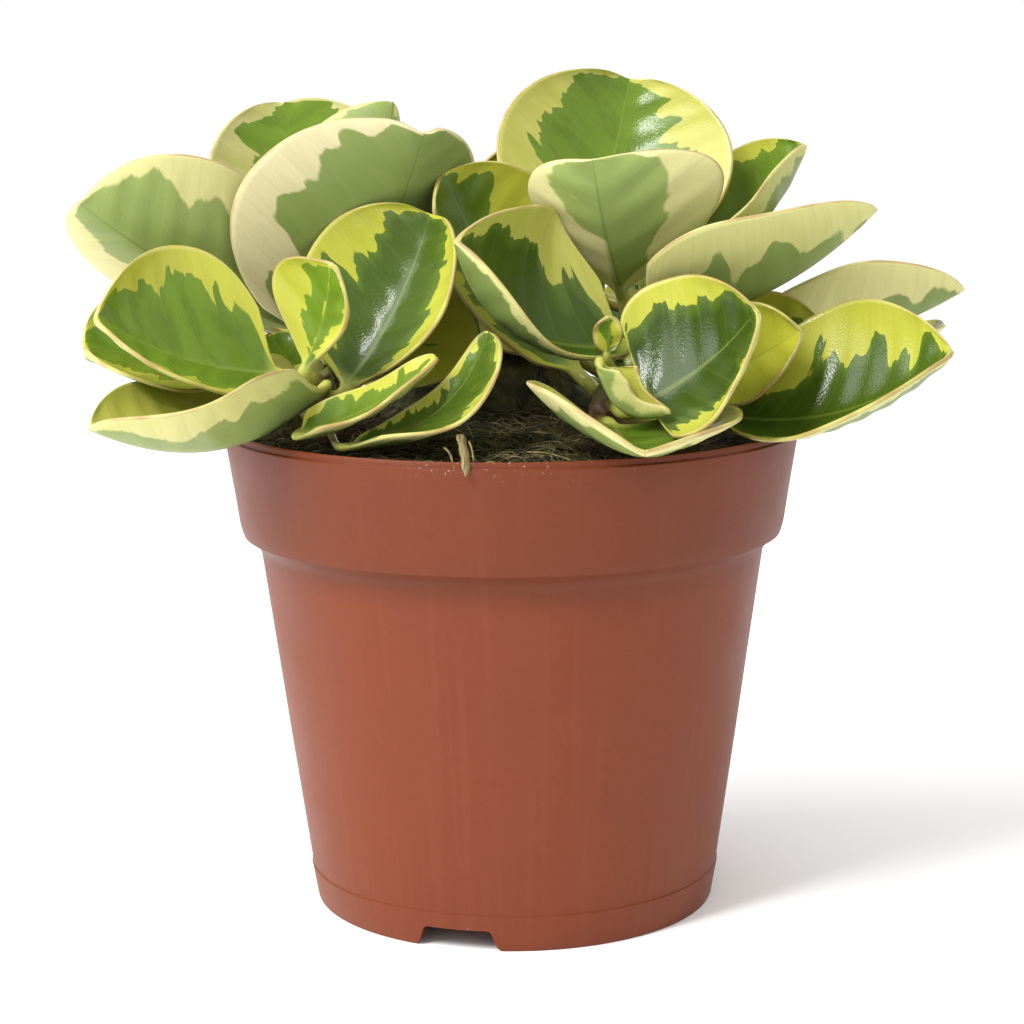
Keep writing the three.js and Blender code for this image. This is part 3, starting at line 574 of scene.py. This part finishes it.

# Each leaf as the CAD source has it: height on its stem, base, tip, face, width, arch, [fold, curl] of the
# left and right halves and its own changes. Only the stalks of the third, sixth and seventh leaf at the front
# left are finer here. Then its finish: the width of the left and right margins in mm, how cream the margin
# is, how dark the green is, and the seed of its pattern.
# The leaves at the back, which are mostly hidden, are given a dark green as painted shade for the inside of the
# plant.
LEAVES = {
    "back_left_1": (114, (-46, 11, 121), (-86.5, -14, 148.3), (0, 0.75, 0.66), 47, -3, (16, 32), (12, 30),
        {"blunt": 0.4}, (7, 11, 0.5, 0.15, 1)),
    "back_left_2": (109.5, (-39, 12, 115), (-17, -6, 162.8), (-0.4, 0.8, 0.56), 65, -3, (14, 34), (5, 18),
        {"sides": (0.99, 1.01), "notch": 1.5, "blunt": 0.44}, (3, 11, 1.0, 0.35, 2)),
    "back_left_3": (118, (-42, 28, 126), (-50.5, 46, 168.2), (0.1, -0.89, 0.45), 45, -3, (8, 25), (0, 10),
        {"sides": (0.95, 1.05), "notch": 0.7, "blunt": 0.45}, (9, 6, 0.85, 0, 3)),
    "back_left_4": (118, (-33, 23, 127), (-25, 25.5, 167.5), (-0.2, 0.95, 0.2), 24, -3, (15, 30), (10, 20),
        {"sides": (0.35, 1.6)}, (2, 2, 0.3, 0.2, 4)),
    "back_left_5": (104, (-50, 24, 107), (-94.5, 34, 112), (0, 0, 1), 36, -3, (8, 15), (8, 15), {},
        (4, 4, 0.2, 0.6, 5)),
    "back_left_6": (112, (-47, 29, 117), (-72, 50, 130), (0.2, -0.2, 0.9), 36, -3, (12, 25), (12, 25), {},
        (4, 5, 0.2, 0.6, 6)),
    "back_left_7": (106, (-37, 29, 109), (-42, 59, 118), (0, -0.2, 0.95), 36, -3, (12, 25), (12, 25), {},
        (5, 4, 0.2, 0.6, 7)),
    "front_left_1": (108, (-46, -20, 113.5), (-80.3, -38, 127), (0.15, -0.62, 0.78), 47, -4, (18, 22), (14, 25),
        {"sides": (0.76, 1.04), "widest": 0.52, "blunt": 0.5}, (5, 8, 0.15, 0.1, 8)),
    "front_left_2": (104, (-50, -9, 115.5), (-86, -20, 120), (0.1, -0.5, 0.85), 32, -3, (12, 20), (10, 25),
        {"sides": (1.2, 1), "widest": 0.64, "blunt": 0.36}, (12, 10, 0.2, 0.3, 9)),
    "front_left_3": (109.6, (-37, -26, 112.2), (-80.5, -48, 107), (0, 0.15, 0.98), 42, -8, (26, 22), (18, 25),
        {"twist": -32, "widest": 0.52, "blunt": 0.45, "lead": 0.15, "stalk": 1.05}, (8, 14, 0.3, 0.3, 10)),
    "front_left_4": (112.3, (-41, -25, 115), (-34.5, -31, 136.6), (-0.6, -0.8, 0.2), 29, -2, (5, 20), (0, 30),
        {"sides": (0.95, 0.5), "widest": 0.68, "blunt": 0.5}, (6, 2, 0.15, 0.1, 11)),
    "front_left_5": (108.5, (-33.5, -18.3, 110.2), (-15.5, -7.8, 146), (-0.45, -0.85, 0.3), 43, -4, (12, 32),
        (16, 30), {"sides": (1, 0.88), "notch": 1, "blunt": 0.4}, (9, 6, 0.1, 0.8, 12)),
    "front_left_6": (104.2, (-41.8, -38.6, 103.9), (-14.2, -33.2, 118.4), (-0.3, -0.3, 0.9), 18, -3, (10, 20),
        (15, 20), {"sides": (0.85, 0.85), "widest": 0.36, "lead": 0.06, "stalk": 0.8}, (2, 3.5, 0.2, 0.4, 13)),
    "front_left_7": (101.9, (-33, -40.3, 101.9), (-3.5, -32, 123.1), (-0.5, -0.3, 0.8), 36, -7, (12, 20),
        (8, 18), {"sides": (0.32, 0.98), "twist": 20, "widest": 0.5, "blunt": 0.42, "lead": 0.06, "stalk": 0.8},
        (2, 4, 0.25, 0.8, 14)),
    "front_left_8": (106, (-29, -2, 109), (-13, 4, 132), (0.3, -0.9, 0.3), 30, -2, (15, 30), (15, 30), {},
        (14, 14, 0.05, 0.2, 15)),
    "front_left_9": (111.5, (-43.5, -6, 113), (-50.5, 3.5, 119.5), (0.1, -0.4, 0.9), 18, -2, (12, 25), (12, 25),
        {}, (3, 3, 0.1, 0.3, 16)),
    "back_right_1": (124, (16.5, 19, 130), (27, 40, 173), (0, -0.88, 0.46), 56, -4, (8, 28), (8, 27),
        {"sides": (0.97, 1.01), "notch": 1, "blunt": 0.42}, (9, 13, 0.4, 0.25, 17)),
    "back_right_2": (122, (23.5, 5.5, 127.8), (16.6, -16, 156.4), (0.02, 0.66, 0.72), 45, -4, (0, 15), (8, 30),
        {"sides": (1.12, 0.72), "notch": 0.3, "widest": 0.77, "blunt": 0.28}, (9, 10, 0.6, 0.1, 18)),
    "back_right_3": (118, (26.5, -7, 122), (73.4, -18, 146), (-0.35, 0.15, 0.92), 40, -5, (15, 20), (28, 28),
        {"sides": (0.98, 1.15), "widest": 0.38, "blunt": 0.6}, (7, 14, 0.35, 0.35, 19)),
    "back_right_4": (125, (39, 20, 132), (64, 24, 157.8), (-0.5, -0.4, 0.75), 30, -5, (8, 18), (35, 30),
        {"sides": (1.5, 1), "widest": 0.52}, (5, 6, 0.2, 0.3, 20)),
    "back_right_5": (112, (50, 16, 116), (96.5, 10, 127.5), (-0.1, 0, 0.99), 38, -4, (20, 30), (40, 30),
        {"widest": 0.5}, (9, 9, 0.45, 0.6, 21)),
    "back_right_6": (107, (54, 28, 107.5), (95, 24, 118.5), (0, 0, 1), 30, -3, (5, 10), (5, 10), {},
        (4, 4, 0.2, 0.6, 22)),
    "back_right_7": (118, (38, 26, 122), (70, 48, 138), (-0.2, -0.3, 0.9), 40, -3, (12, 25), (12, 25), {},
        (4, 5, 0.2, 0.6, 23)),
    "back_right_8": (109, (15, 24, 112), (-2, 30, 132), (0.2, -0.8, 0.6), 38, -3, (12, 25), (12, 25), {},
        (5, 5, 0.2, 0.5, 24)),
    "front_right_1": (102.6, (41, -16, 103.9), (86, -36, 119), (-0.1, -0.35, 0.93), 44, -7, (30, 30), (12, 18),
        {"sides": (1.08, 1.14)}, (12, 4, 0.15, 0.75, 26)),
    "front_right_2": (106, (37, -11, 109.5), (58, -23, 122), (-0.3, -0.8, 0.4), 24, -2, (15, 30), (15, 30), {},
        (22, 22, 0.05, 0.3, 27)),
    "front_right_3": (107, (26, -31, 108.3), (47.8, -39.8, 127.5), (-0.45, -0.75, 0.55), 43, -3, (5, 22),
        (12, 35), {"sides": (0.98, 1.01), "widest": 0.37, "blunt": 0.44}, (4.5, 7, 0.15, 0.95, 28)),
    "front_right_4": (112.8, (25.5, -10, 117.5), (-10.7, -33, 141), (0.2, -0.45, 0.85), 50, -10, (15, 25),
        (34, 26), {"sides": (0.72, 1.08), "widest": 0.56, "blunt": 0.46}, (2.5, 8, 0.35, 0.8, 29)),
    "front_right_5": (108.5, (14, 3, 111), (-14.1, 3.3, 152.8), (0.55, -0.75, 0.3), 43, -5, (12, 28), (10, 30),
        {"sides": (0.8, 1), "blunt": 0.4}, (4, 14, 0.1, 0.5, 30)),
    "front_right_6": (103.1, (20, -31, 103.8), (24.8, -64.2, 103.5), (0, 0, 1), 49, -1.5, (5, 24), (18, 34),
        {"sides": (0.94, 0.97), "notch": 1, "widest": 0.47}, (5, 5, 0.5, 0.45, 31)),
    "front_right_7": (109.9, (17.4, -33.8, 117), (30.8, -42.5, 108.2), (0.45, -0.2, 1), 21, -5, (62, 60),
        (50, 30), {"sides": (0.8, 0.6), "widest": 0.2, "lead": 0.15, "stalk": 1}, (6, 3, 0.25, 0.1, 32)),
    "front_right_8": (109.2, (37, 1, 111), (65, -1, 121), (-0.3, -0.6, 0.7), 26, -2, (15, 30), (15, 30), {},
        (6, 6, 0.1, 0.4, 33)),
    "front_right_9": (113.4, (19, -27.5, 118.3), (19.4, -29.5, 126), (0, -0.95, 0.25), 6, -0.5, (10, 20),
        (10, 20), {"lead": 0.2, "stalk": 0.9}, (0.8, 0.8, 0.1, 0.15, 25)),
    "back_1": (122, (5, 46, 128), (3, 44, 159), (0.1, -0.9, 0.3), 34, -3, (12, 30), (12, 30), {},
        (6, 6, 0.2, 0.4, 34)),
    "back_2": (117, (-1, 46, 124), (-26, 58, 146), (0.3, -0.4, 0.85), 36, -3, (12, 25), (12, 25), {},
        (4, 5, 0.2, 0.6, 35)),
    "back_3": (108, (17, 44, 112), (46, 55, 120), (-0.2, -0.3, 0.9), 40, -3, (12, 25), (12, 25), {},
        (5, 4, 0.2, 0.6, 36)),
    "back_4": (109, (3, 48, 111), (-4, 62, 121), (0.1, -0.3, 0.95), 32, -3, (12, 25), (12, 25), {},
        (4, 4, 0.2, 0.6, 37)),
    "back_5": (110, (-3, 33, 112), (-27, 29, 125), (0.2, -0.4, 0.9), 34, -3, (12, 25), (12, 25), {},
        (4, 4, 0.2, 0.6, 38)),
    "back_6": (103, (18, 37, 105), (50, 48, 107), (0, -0.1, 0.98), 32, -3, (10, 15), (10, 15), {},
        (4, 4, 0.2, 0.7, 39)),
}


def unit(v):
    """A vector of length 1 the same way."""
    return v / np.linalg.norm(v)


# Across the blade from the left margin (-1) to the right one (1), closer together towards the margins. The
# ring runs over the upper face, round the right edge, back under the blade and round the left edge.
even = np.linspace(-1, 1, LEAF_COLUMNS)
columns = 1.25 * even - 0.25 * even ** 3
RING_ACROSS = np.concatenate([columns, [1], columns[::-1], [-1]])
RING_FACE = np.concatenate([np.ones(LEAF_COLUMNS), [0], -np.ones(LEAF_COLUMNS), [0]])
round_angles = math.pi * (1 - even) / 2 * 0.96 + 0.02 * math.pi
RING_ROUND = np.concatenate([round_angles, [0], -round_angles[::-1], [math.pi]])


def leaf_skin(shoot, leaf):
    """The rings of a leaf from its stem to its tip in mm, and what its finish needs to know of each point."""
    height_on_stem, base, tip, face, width, arch, left, right, own, finish = leaf
    own = {**USUAL, **own}
    base, tip, face = np.array(base, float), np.array(tip, float), np.array(face, float)
    chord = tip - base
    length = np.linalg.norm(chord)
    along = chord / length
    face = unit(face - along * face.dot(along))
    rise = own["blunt"] * own["widest"] / (1 - own["widest"])
    most = own["widest"] ** rise * (1 - own["widest"]) ** own["blunt"]
    on_left = RING_ACROSS < 0
    fold = np.radians(np.where(on_left, left[0], right[0]))
    turn = np.radians(np.where(on_left, left[1], right[1]))
    side = np.sign(RING_ACROSS)
    out = np.abs(RING_ACROSS)
    share_of_width = np.where(on_left, *own["sides"])
    rings, notes = [], []

    def spine(s):
        """The midrib's point at a share of the blade's length, and the ways ahead, up and to the right there."""
        point = base + chord * s + face * arch * 4 * s * (1 - s)
        ahead = unit(chord + face * arch * 4 * (1 - 2 * s))
        up = unit(face - ahead * face.dot(ahead))
        angle = math.radians(own["twist"]) * (s - 0.3)
        up = up * math.cos(angle) + np.cross(ahead, up) * math.sin(angle)
        return point, ahead, up, np.cross(ahead, up)

    # The stalk leaves its stem straight out and bends into the blade.
    start, start_ahead, start_up, _ = spine(0)
    curve = stem_curve(shoot)
    from_height = min(height_on_stem, curve[3][2])
    stem_at = next(p for p in (bezier(curve, k / 100)[0] for k in range(101)) if p[2] >= from_height)
    way = start - stem_at
    way[2] = 0
    socket = stem_at + unit(way) * (STEM_RADIUS - 1)
    reach = np.linalg.norm(start - socket)
    stalk = (socket, socket + unit(way) * 0.35 * reach, start - start_ahead * own["lead"] * reach, start)
    up = start_up
    for row in range(STALK_ROWS - 1, -1, -1):
        share = row / STALK_ROWS
        point, ahead = bezier(stalk, share)
        up = unit(up - ahead * up.dot(ahead))
        across = np.cross(ahead, up)
        flare = own["stalk"] * (1 + 0.35 * (1 - share) ** 6)
        rings.insert(0, point + flare * (np.outer(np.cos(RING_ROUND), across) + np.outer(np.sin(RING_ROUND), up)))
        # A stalk has no margin, so it counts as 9 mm away from one.
        notes.insert(0, np.column_stack([np.full(LEAF_RING, share - 1), RING_ACROSS, RING_FACE,
                                         np.full(LEAF_RING, (share - 1) * reach), np.zeros(LEAF_RING),
                                         np.full(LEAF_RING, 9.0)]))

    # The blade, in rows that close up towards the tip.
    for row in range(BLADE_ROWS + 1):
        s = 1 - (1 - row / BLADE_ROWS) ** 1.8
        point, ahead, up, right_way = spine(s)
        half = width / 2 * share_of_width * s ** rise * (1 - s) ** own["blunt"] / most
        angle = fold + turn * out
        across_mm = half * (np.sin(angle) - np.sin(fold)) / turn * side
        lift = half * (np.cos(fold) - np.cos(angle)) / turn
        wave = own["wave"] * out ** 2 * np.sin(9 * s + np.where(on_left, 0, 2) + width)
        # Soft furrows over the side veins.
        vein = s * length - VEIN_LEAN * half * out
        furrow = -0.16 * np.cos(math.tau * vein / VEIN_SPACING + finish[4])
        furrow = furrow * smooth(out, 0, 0.2) * smooth(out, 1, 0.6)
        # The midrib is a rounded channel, not a crease.
        channel = 0.28 * np.exp(-(half * out / 1.3) ** 2)
        pull = own["notch"] * smooth(s, 0.8, 1) * np.exp(-(half * out / 4) ** 2)
        normal = np.outer(np.cos(angle), up) - np.outer(np.sin(angle) * side, right_way)
        outward = np.outer(np.cos(angle) * side, right_way) + np.outer(np.sin(angle), up)
        depth = (MIDDLE_THICK + (EDGE_THICK - MIDDLE_THICK) * out) / 2
        depth = depth * np.where(half < 1.2, 0.4 + 0.6 * half / 1.2, 1)
        rib = RIB_DEPTH * (1 - s) ** 1.5 * np.exp(-(half * out / 1.5) ** 2) * (RING_FACE < 0)
        ring = (point + np.outer(across_mm, right_way) + np.outer(lift + wave + furrow + channel, up)
                - np.outer(pull, ahead) + normal * (RING_FACE * depth - rib)[:, None]
                + outward * np.where(RING_FACE == 0, 0.3, 0)[:, None])
        tube = point + own["stalk"] * (np.outer(np.cos(RING_ROUND), right_way) + np.outer(np.sin(RING_ROUND), up))
        blend = 1 - smooth(s, 0, 0.12)
        rings.append(ring * (1 - blend) + tube * blend)
        # The pattern follows the side margin, so that the green runs to the tip along the midrib.
        notes.append(np.column_stack([np.full(LEAF_RING, s), RING_ACROSS, RING_FACE,
                                      np.full(LEAF_RING, s * length), side * half * out, half * (1 - out)]))
    return np.array(rings), np.array(notes)


leaf_blank = strand_blank("leaf_blank", LEAF_RING, LEAF_ROWS - 1)
bpy.context.view_layer.objects.active = leaf_blank
leaf_blank.select_set(True)
bpy.ops.object.mode_set(mode="EDIT")
bpy.ops.mesh.select_mode(type="VERT")
ends = bmesh.from_edit_mesh(leaf_blank.data)
for vertex in ends.verts:
    vertex.select_set(vertex.co.z > 1 - 0.5 / LEAF_ROWS)
ends.select_flush(True)
bmesh.update_edit_mesh(leaf_blank.data)
bpy.ops.mesh.merge(type="CENTER")
bpy.ops.object.mode_set(mode="OBJECT")
# Where each point of the blank stands: its row along the leaf and its column round it.
blank_points = [v.co for v in leaf_blank.data.vertices]
blank_rows = [round(at.z * LEAF_ROWS) for at in blank_points]
blank_columns = [round(math.atan2(at.y, at.x) / math.tau * LEAF_RING) % LEAF_RING for at in blank_points]

leaves = []
for name, leaf in LEAVES.items():
    blade = copied(leaf_blank, f"{name}_leaf")
    rings, notes = leaf_skin(name.rsplit("_", 1)[0], leaf)
    rings[-1] = rings[-1].mean(axis=0)
    points = rings[blank_rows, blank_columns]
    about = notes[blank_rows, blank_columns]
    blade.data.vertices.foreach_set("co", (points * MM).astype(np.float32).ravel())
    finish = leaf[-1]
    for attribute, kind, field, values in (
            ("blade_share", "FLOAT_VECTOR", "vector", about[:, 0:3]),
            ("blade_mm", "FLOAT_VECTOR", "vector", about[:, 3:6]),
            ("leaf_finish", "FLOAT_COLOR", "color", np.tile(finish[:4], len(points))),
            ("leaf_seed", "FLOAT", "value", np.full(len(points), finish[4]))):
        made = blade.data.attributes.new(attribute, kind, "POINT")
        made.data.foreach_set(field, values.astype(np.float32).ravel())
    blade.data.shade_smooth()
    blade.data.update()
    leaves.append((blade, name))
bpy.data.objects.remove(leaf_blank)

# Waxy leaf skin: wet-looking above, matt and paler below. The green lies in flat patches with jagged edges
# drawn out along the side veins, dark over light, and the margin ends in a pale edge with a reddish hairline.
waxy_skin, tree, surface, place = material("Waxy leaf skin")
share = node(tree, "Attribute", attribute_name="blade_share").outputs["Vector"]
share = node(tree, "SeparateXYZ", {0: share})
size = node(tree, "Attribute", attribute_name="blade_mm").outputs["Vector"]
size = node(tree, "SeparateXYZ", {0: size})
finish = node(tree, "Attribute", attribute_name="leaf_finish")
parts = node(tree, "SeparateColor", {0: finish.outputs["Color"]})
darkness = finish.outputs["Alpha"]
seed = node(tree, "Attribute", attribute_name="leaf_seed").outputs["Fac"]
along_share, across_share, face_side = share.outputs
along_mm, across_mm, margin_mm = size.outputs
on_right = node(tree, "Math", {0: across_share, 1: 0.0}, operation="GREATER_THAN")
above = node(tree, "MapRange", {0: face_side, 1: -0.3, 2: 0.3})
out_mm = node(tree, "Math", {0: across_mm}, operation="ABSOLUTE")
# Lines of one value run forward from the midrib as the side veins do.
vein = node(tree, "Math", {0: out_mm, 1: -VEIN_LEAN, 2: along_mm}, operation="MULTIPLY_ADD")
leaf_key = node(tree, "Math", {0: seed, 1: 17.3, 2: on_right}, operation="MULTIPLY_ADD")

# Patterns drawn out along the side veins: mm across the veins, mm along them, a shift of the key, and detail.
PATTERNS = ((4.0, 15.0, 0.0, 2.0), (9.0, 16.0, 40.0, 1.0), (7.0, 13.0, 80.0, 3.0), (1.6, 10.0, 120.0, 2.0))
lobes = []
for narrow, long, shift, detail in PATTERNS:
    lobes.append(node(tree, "TexNoise", {
        "Vector": node(tree, "CombineXYZ", {
            0: node(tree, "Math", {0: vein, 1: 1 / narrow}, operation="MULTIPLY"),
            1: node(tree, "Math", {0: out_mm, 1: 1 / long}, operation="MULTIPLY"),
            2: node(tree, "Math", {0: leaf_key, 1: shift}, operation="ADD")}),
        "Scale": 1.0, "Detail": detail, "Roughness": 0.6}))
fingers, broad, patchy, streaky = lobes
edge = node(tree, "Mix", {0: on_right, 2: parts.outputs[0], 3: parts.outputs[1]}, data_type="FLOAT")
# The yellow is narrow at the blade's base and at its tip.
narrower = node(tree, "MapRange", {0: along_share, 1: 0.0, 2: 0.35, 3: 0.25, 4: 1.0})
edge = node(tree, "Math", {0: edge, 1: narrower}, operation="MULTIPLY")
narrower = node(tree, "MapRange", {0: along_share, 1: 0.75, 2: 1.0, 3: 1.0, 4: 0.5})
edge = node(tree, "Math", {0: edge, 1: narrower}, operation="MULTIPLY")
# The green reaches out in blunt fingers, up to 1.3 mm to each side of the line between them.
blunt_fingers = node(tree, "MapRange", {0: fingers, 1: 0.43, 2: 0.57, 3: 1.3, 4: -1.3})
fewer_below = node(tree, "MapRange", {0: above, 3: 0.5, 4: 1.0})
blunt_fingers = node(tree, "Math", {0: blunt_fingers, 1: fewer_below}, operation="MULTIPLY")
swing = node(tree, "Math", {0: broad, 1: 2.4, 2: -0.2}, operation="MULTIPLY_ADD")
border = node(tree, "Math", {0: edge, 1: swing, 2: blunt_fingers}, operation="MULTIPLY_ADD")
inward = node(tree, "Math", {0: margin_mm, 1: border}, operation="SUBTRACT")
green = node(tree, "MapRange", {0: inward, 1: -0.12, 2: 0.22})
green_below = node(tree, "MapRange", {0: inward, 1: -0.5, 2: 0.8}, interpolation_type="SMOOTHSTEP")
# Above: an even green with soft darker patches, with painted shade that darkens it near the base, and paler next
# to the yellow.
deep = node(tree, "MapRange", {0: patchy, 1: 0.47, 2: 0.58, 3: 0.0, 4: 0.3})
shade_near_base = node(tree, "MapRange", {0: along_share, 1: 0.5, 2: 0.05, 3: 0.0, 4: 0.5})
next_to_yellow = node(tree, "MapRange", {0: inward, 1: 4.5, 2: 0.5, 3: 0.0, 4: 0.35})
creamy = parts.outputs[2]
yellow = node(tree, "Mix", {0: creamy, 6: linear("#b0b02e"), 7: linear("#c8c088")}, data_type="RGBA")
golden = node(tree, "MapRange", {0: broad, 1: 0.35, 2: 0.65, 3: 0.0, 4: 0.35})
yellow = node(tree, "Mix", {0: golden, 6: yellow.outputs[2], 7: linear("#9ca12a")}, data_type="RGBA")
middle = node(tree, "Mix", {0: darkness, 6: linear("#6b8723"), 7: linear("#2d4010")}, data_type="RGBA")
for amount, colour in ((deep, "#3b5313"), (shade_near_base, "#34490f"), (next_to_yellow, "#6e8834")):
    middle = node(tree, "Mix", {0: amount, 6: middle.outputs[2], 7: linear(colour)}, data_type="RGBA")
upper = node(tree, "Mix", {0: green, 6: yellow.outputs[2], 7: middle.outputs[2]}, data_type="RGBA")
# Below, all of it paler and greyer, and the edges are softer.
cream = node(tree, "Mix", {0: creamy, 6: linear("#b9ba64"), 7: linear("#d1c79c")}, data_type="RGBA")
sage = node(tree, "Mix", {0: darkness, 6: linear("#8d9c56"), 7: linear("#62733a")}, data_type="RGBA")
sage = node(tree, "Mix", {0: deep, 6: sage.outputs[2], 7: linear("#748547")}, data_type="RGBA")
lower = node(tree, "Mix", {0: green_below, 6: cream.outputs[2], 7: sage.outputs[2]}, data_type="RGBA")
skin = node(tree, "Mix", {0: above, 6: lower.outputs[2], 7: upper.outputs[2]}, data_type="RGBA")
# Faint streaks in the skin along the side veins.
streak = node(tree, "MapRange", {0: streaky, 1: 0.35, 2: 0.65, 3: 0.0, 4: 0.08})
# The midrib is a line about 1 mm wide that thins out towards the tip: pale above and dark below.
rib_width = node(tree, "MapRange", {0: along_share, 1: 0.0, 2: 0.95, 3: 1.1, 4: 0.15})
rib = node(tree, "Math", {0: out_mm, 1: rib_width}, operation="DIVIDE")
rib = node(tree, "MapRange", {0: rib, 1: 1.0, 2: 0.35, 3: 0.0, 4: 0.4})
rib_tone = node(tree, "Mix", {0: above, 6: linear("#51652a"), 7: linear("#79893c")}, data_type="RGBA")
side_vein = node(tree, "Math", {0: vein, 1: VEIN_SPACING / 2}, operation="PINGPONG")
side_vein = node(tree, "MapRange", {0: side_vein, 1: 0.4, 2: 0.0, 3: 0.0, 4: 0.10})
# The edge is pale, with a reddish hairline that comes and goes.
pale_edge = node(tree, "MapRange", {0: margin_mm, 1: 0.7, 2: 0.2, 3: 0.0, 4: 0.35})
rim = node(tree, "MapRange", {0: margin_mm, 1: 0.16, 2: 0.02, 3: 0.0, 4: 1.0})
reddened = node(tree, "MapRange", {0: broad, 1: 0.40, 2: 0.60, 3: 0.15, 4: 0.6})
rim = node(tree, "Math", {0: rim, 1: reddened}, operation="MULTIPLY")
# The stalk: pale green, flushed wine red towards the stem.
flush = node(tree, "MapRange", {0: along_share, 1: -1.0, 2: -0.55})
stalk_tone = node(tree, "Mix", {0: flush, 6: linear("#75553a"), 7: linear("#a9aa52")}, data_type="RGBA")
on_stalk = node(tree, "MapRange", {0: along_share, 1: 0.09, 2: -0.01})
# All of these lie over the blade's colours, from the lowest to the topmost.
for amount, colour in ((streak, linear("#536126")), (rib, rib_tone.outputs[2]), (side_vein, linear("#79833c")),
                       (pale_edge, linear("#bfb97f")), (rim, linear("#906140")),
                       (on_stalk, stalk_tone.outputs[2])):
    skin = node(tree, "Mix", {0: amount, 6: skin.outputs[2], 7: colour}, data_type="RGBA")
gloss = node(tree, "MapRange", {0: above, 3: 0.46, 4: 0.17})
# The skin's cells break up its shine. Real ones are finer, and these are 0.4 mm apart so that they show.
cells = node(tree, "TexNoise", {"Vector": place, "Scale": 1 / (0.42 * MM), "Detail": 1.0})
bump = node(tree, "Bump", {"Height": cells, "Strength": 0.6, "Distance": 0.08 * MM})
feed(tree, surface, {"Base Color": skin.outputs[2], "Roughness": gloss, "IOR": 1.45, "Specular IOR Level": 0.32,
                     "Subsurface Weight": 0.12, "Subsurface Radius": (0.8, 1.0, 0.3),
                     "Subsurface Scale": 1.2 * MM, "Normal": bump})

for blade, name in leaves:
    blade.data.materials.append(waxy_skin)
    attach(blade, "root")
    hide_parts(f"leaf_{name}")


# --- Floor, light and camera -------------------------------------------------------------------------------
# The plant stands on plain white card in a white room. A narrow window lamp at the upper left gives the sharp
# highlights and a big soft lamp beside it the shading.

bpy.ops.object.select_all(action="DESELECT")
bpy.ops.mesh.primitive_plane_add(size=6, location=(0, 0, 0))
floor = bpy.context.object
floor.name = "floor"
card, tree, surface, place = material("White card")
haze = node(tree, "TexNoise", {"Vector": place, "Scale": 2.0})
tone = node(tree, "Mix", {0: haze, 6: linear("#fbfbfb"), 7: linear("#fdfdfd")}, data_type="RGBA")
feed(tree, surface, {"Base Color": tone.outputs[2], "Roughness": 0.9})
floor.data.materials.append(card)

for lamp_name, lamp_at, lamp_size, watts in (("window_lamp", (-0.50, -0.62, 0.95), (0.14, 0.5), 9.0),
                                             ("soft_lamp", (-1.0, -0.40, 1.05), (1.1, 1.1), 18.0)):
    lamp = bpy.data.lights.new(lamp_name, "AREA")
    lamp.shape = "RECTANGLE"
    lamp.size, lamp.size_y = lamp_size
    lamp.energy = watts
    holder = bpy.data.objects.new(lamp_name, lamp)
    bpy.context.scene.collection.objects.link(holder)
    aim = Vector((0, 0, 0.10)) - Vector(lamp_at)
    holder.matrix_world = Matrix.Translation(lamp_at) @ aim.to_track_quat("-Z", "Y").to_matrix().to_4x4()

sky = bpy.data.worlds.new("studio")
sky.use_nodes = True
feed(sky.node_tree, sky.node_tree.nodes["Background"], {"Color": (1, 1, 1, 1), "Strength": 1.0})
bpy.context.scene.world = sky

# The photo was taken from half a metre away, looking down by 9.8 degrees, with the camera rolled very little.
CAMERA_AT = (0, -0.5115, 0.1702)
CAMERA_DOWN = 0.1708
CAMERA_ROLL = -0.0077
lens = bpy.data.cameras.new("camera")
lens.sensor_width = 36
lens.lens = 86.31
camera = bpy.data.objects.new("camera", lens)
bpy.context.scene.collection.objects.link(camera)
camera.matrix_world = (Matrix.Translation(CAMERA_AT) @ Matrix.Rotation(math.pi / 2 - CAMERA_DOWN, 4, "X")
                       @ Matrix.Rotation(CAMERA_ROLL, 4, "Z"))
bpy.context.scene.camera = camera
bpy.context.scene.view_settings.view_transform = "Standard"
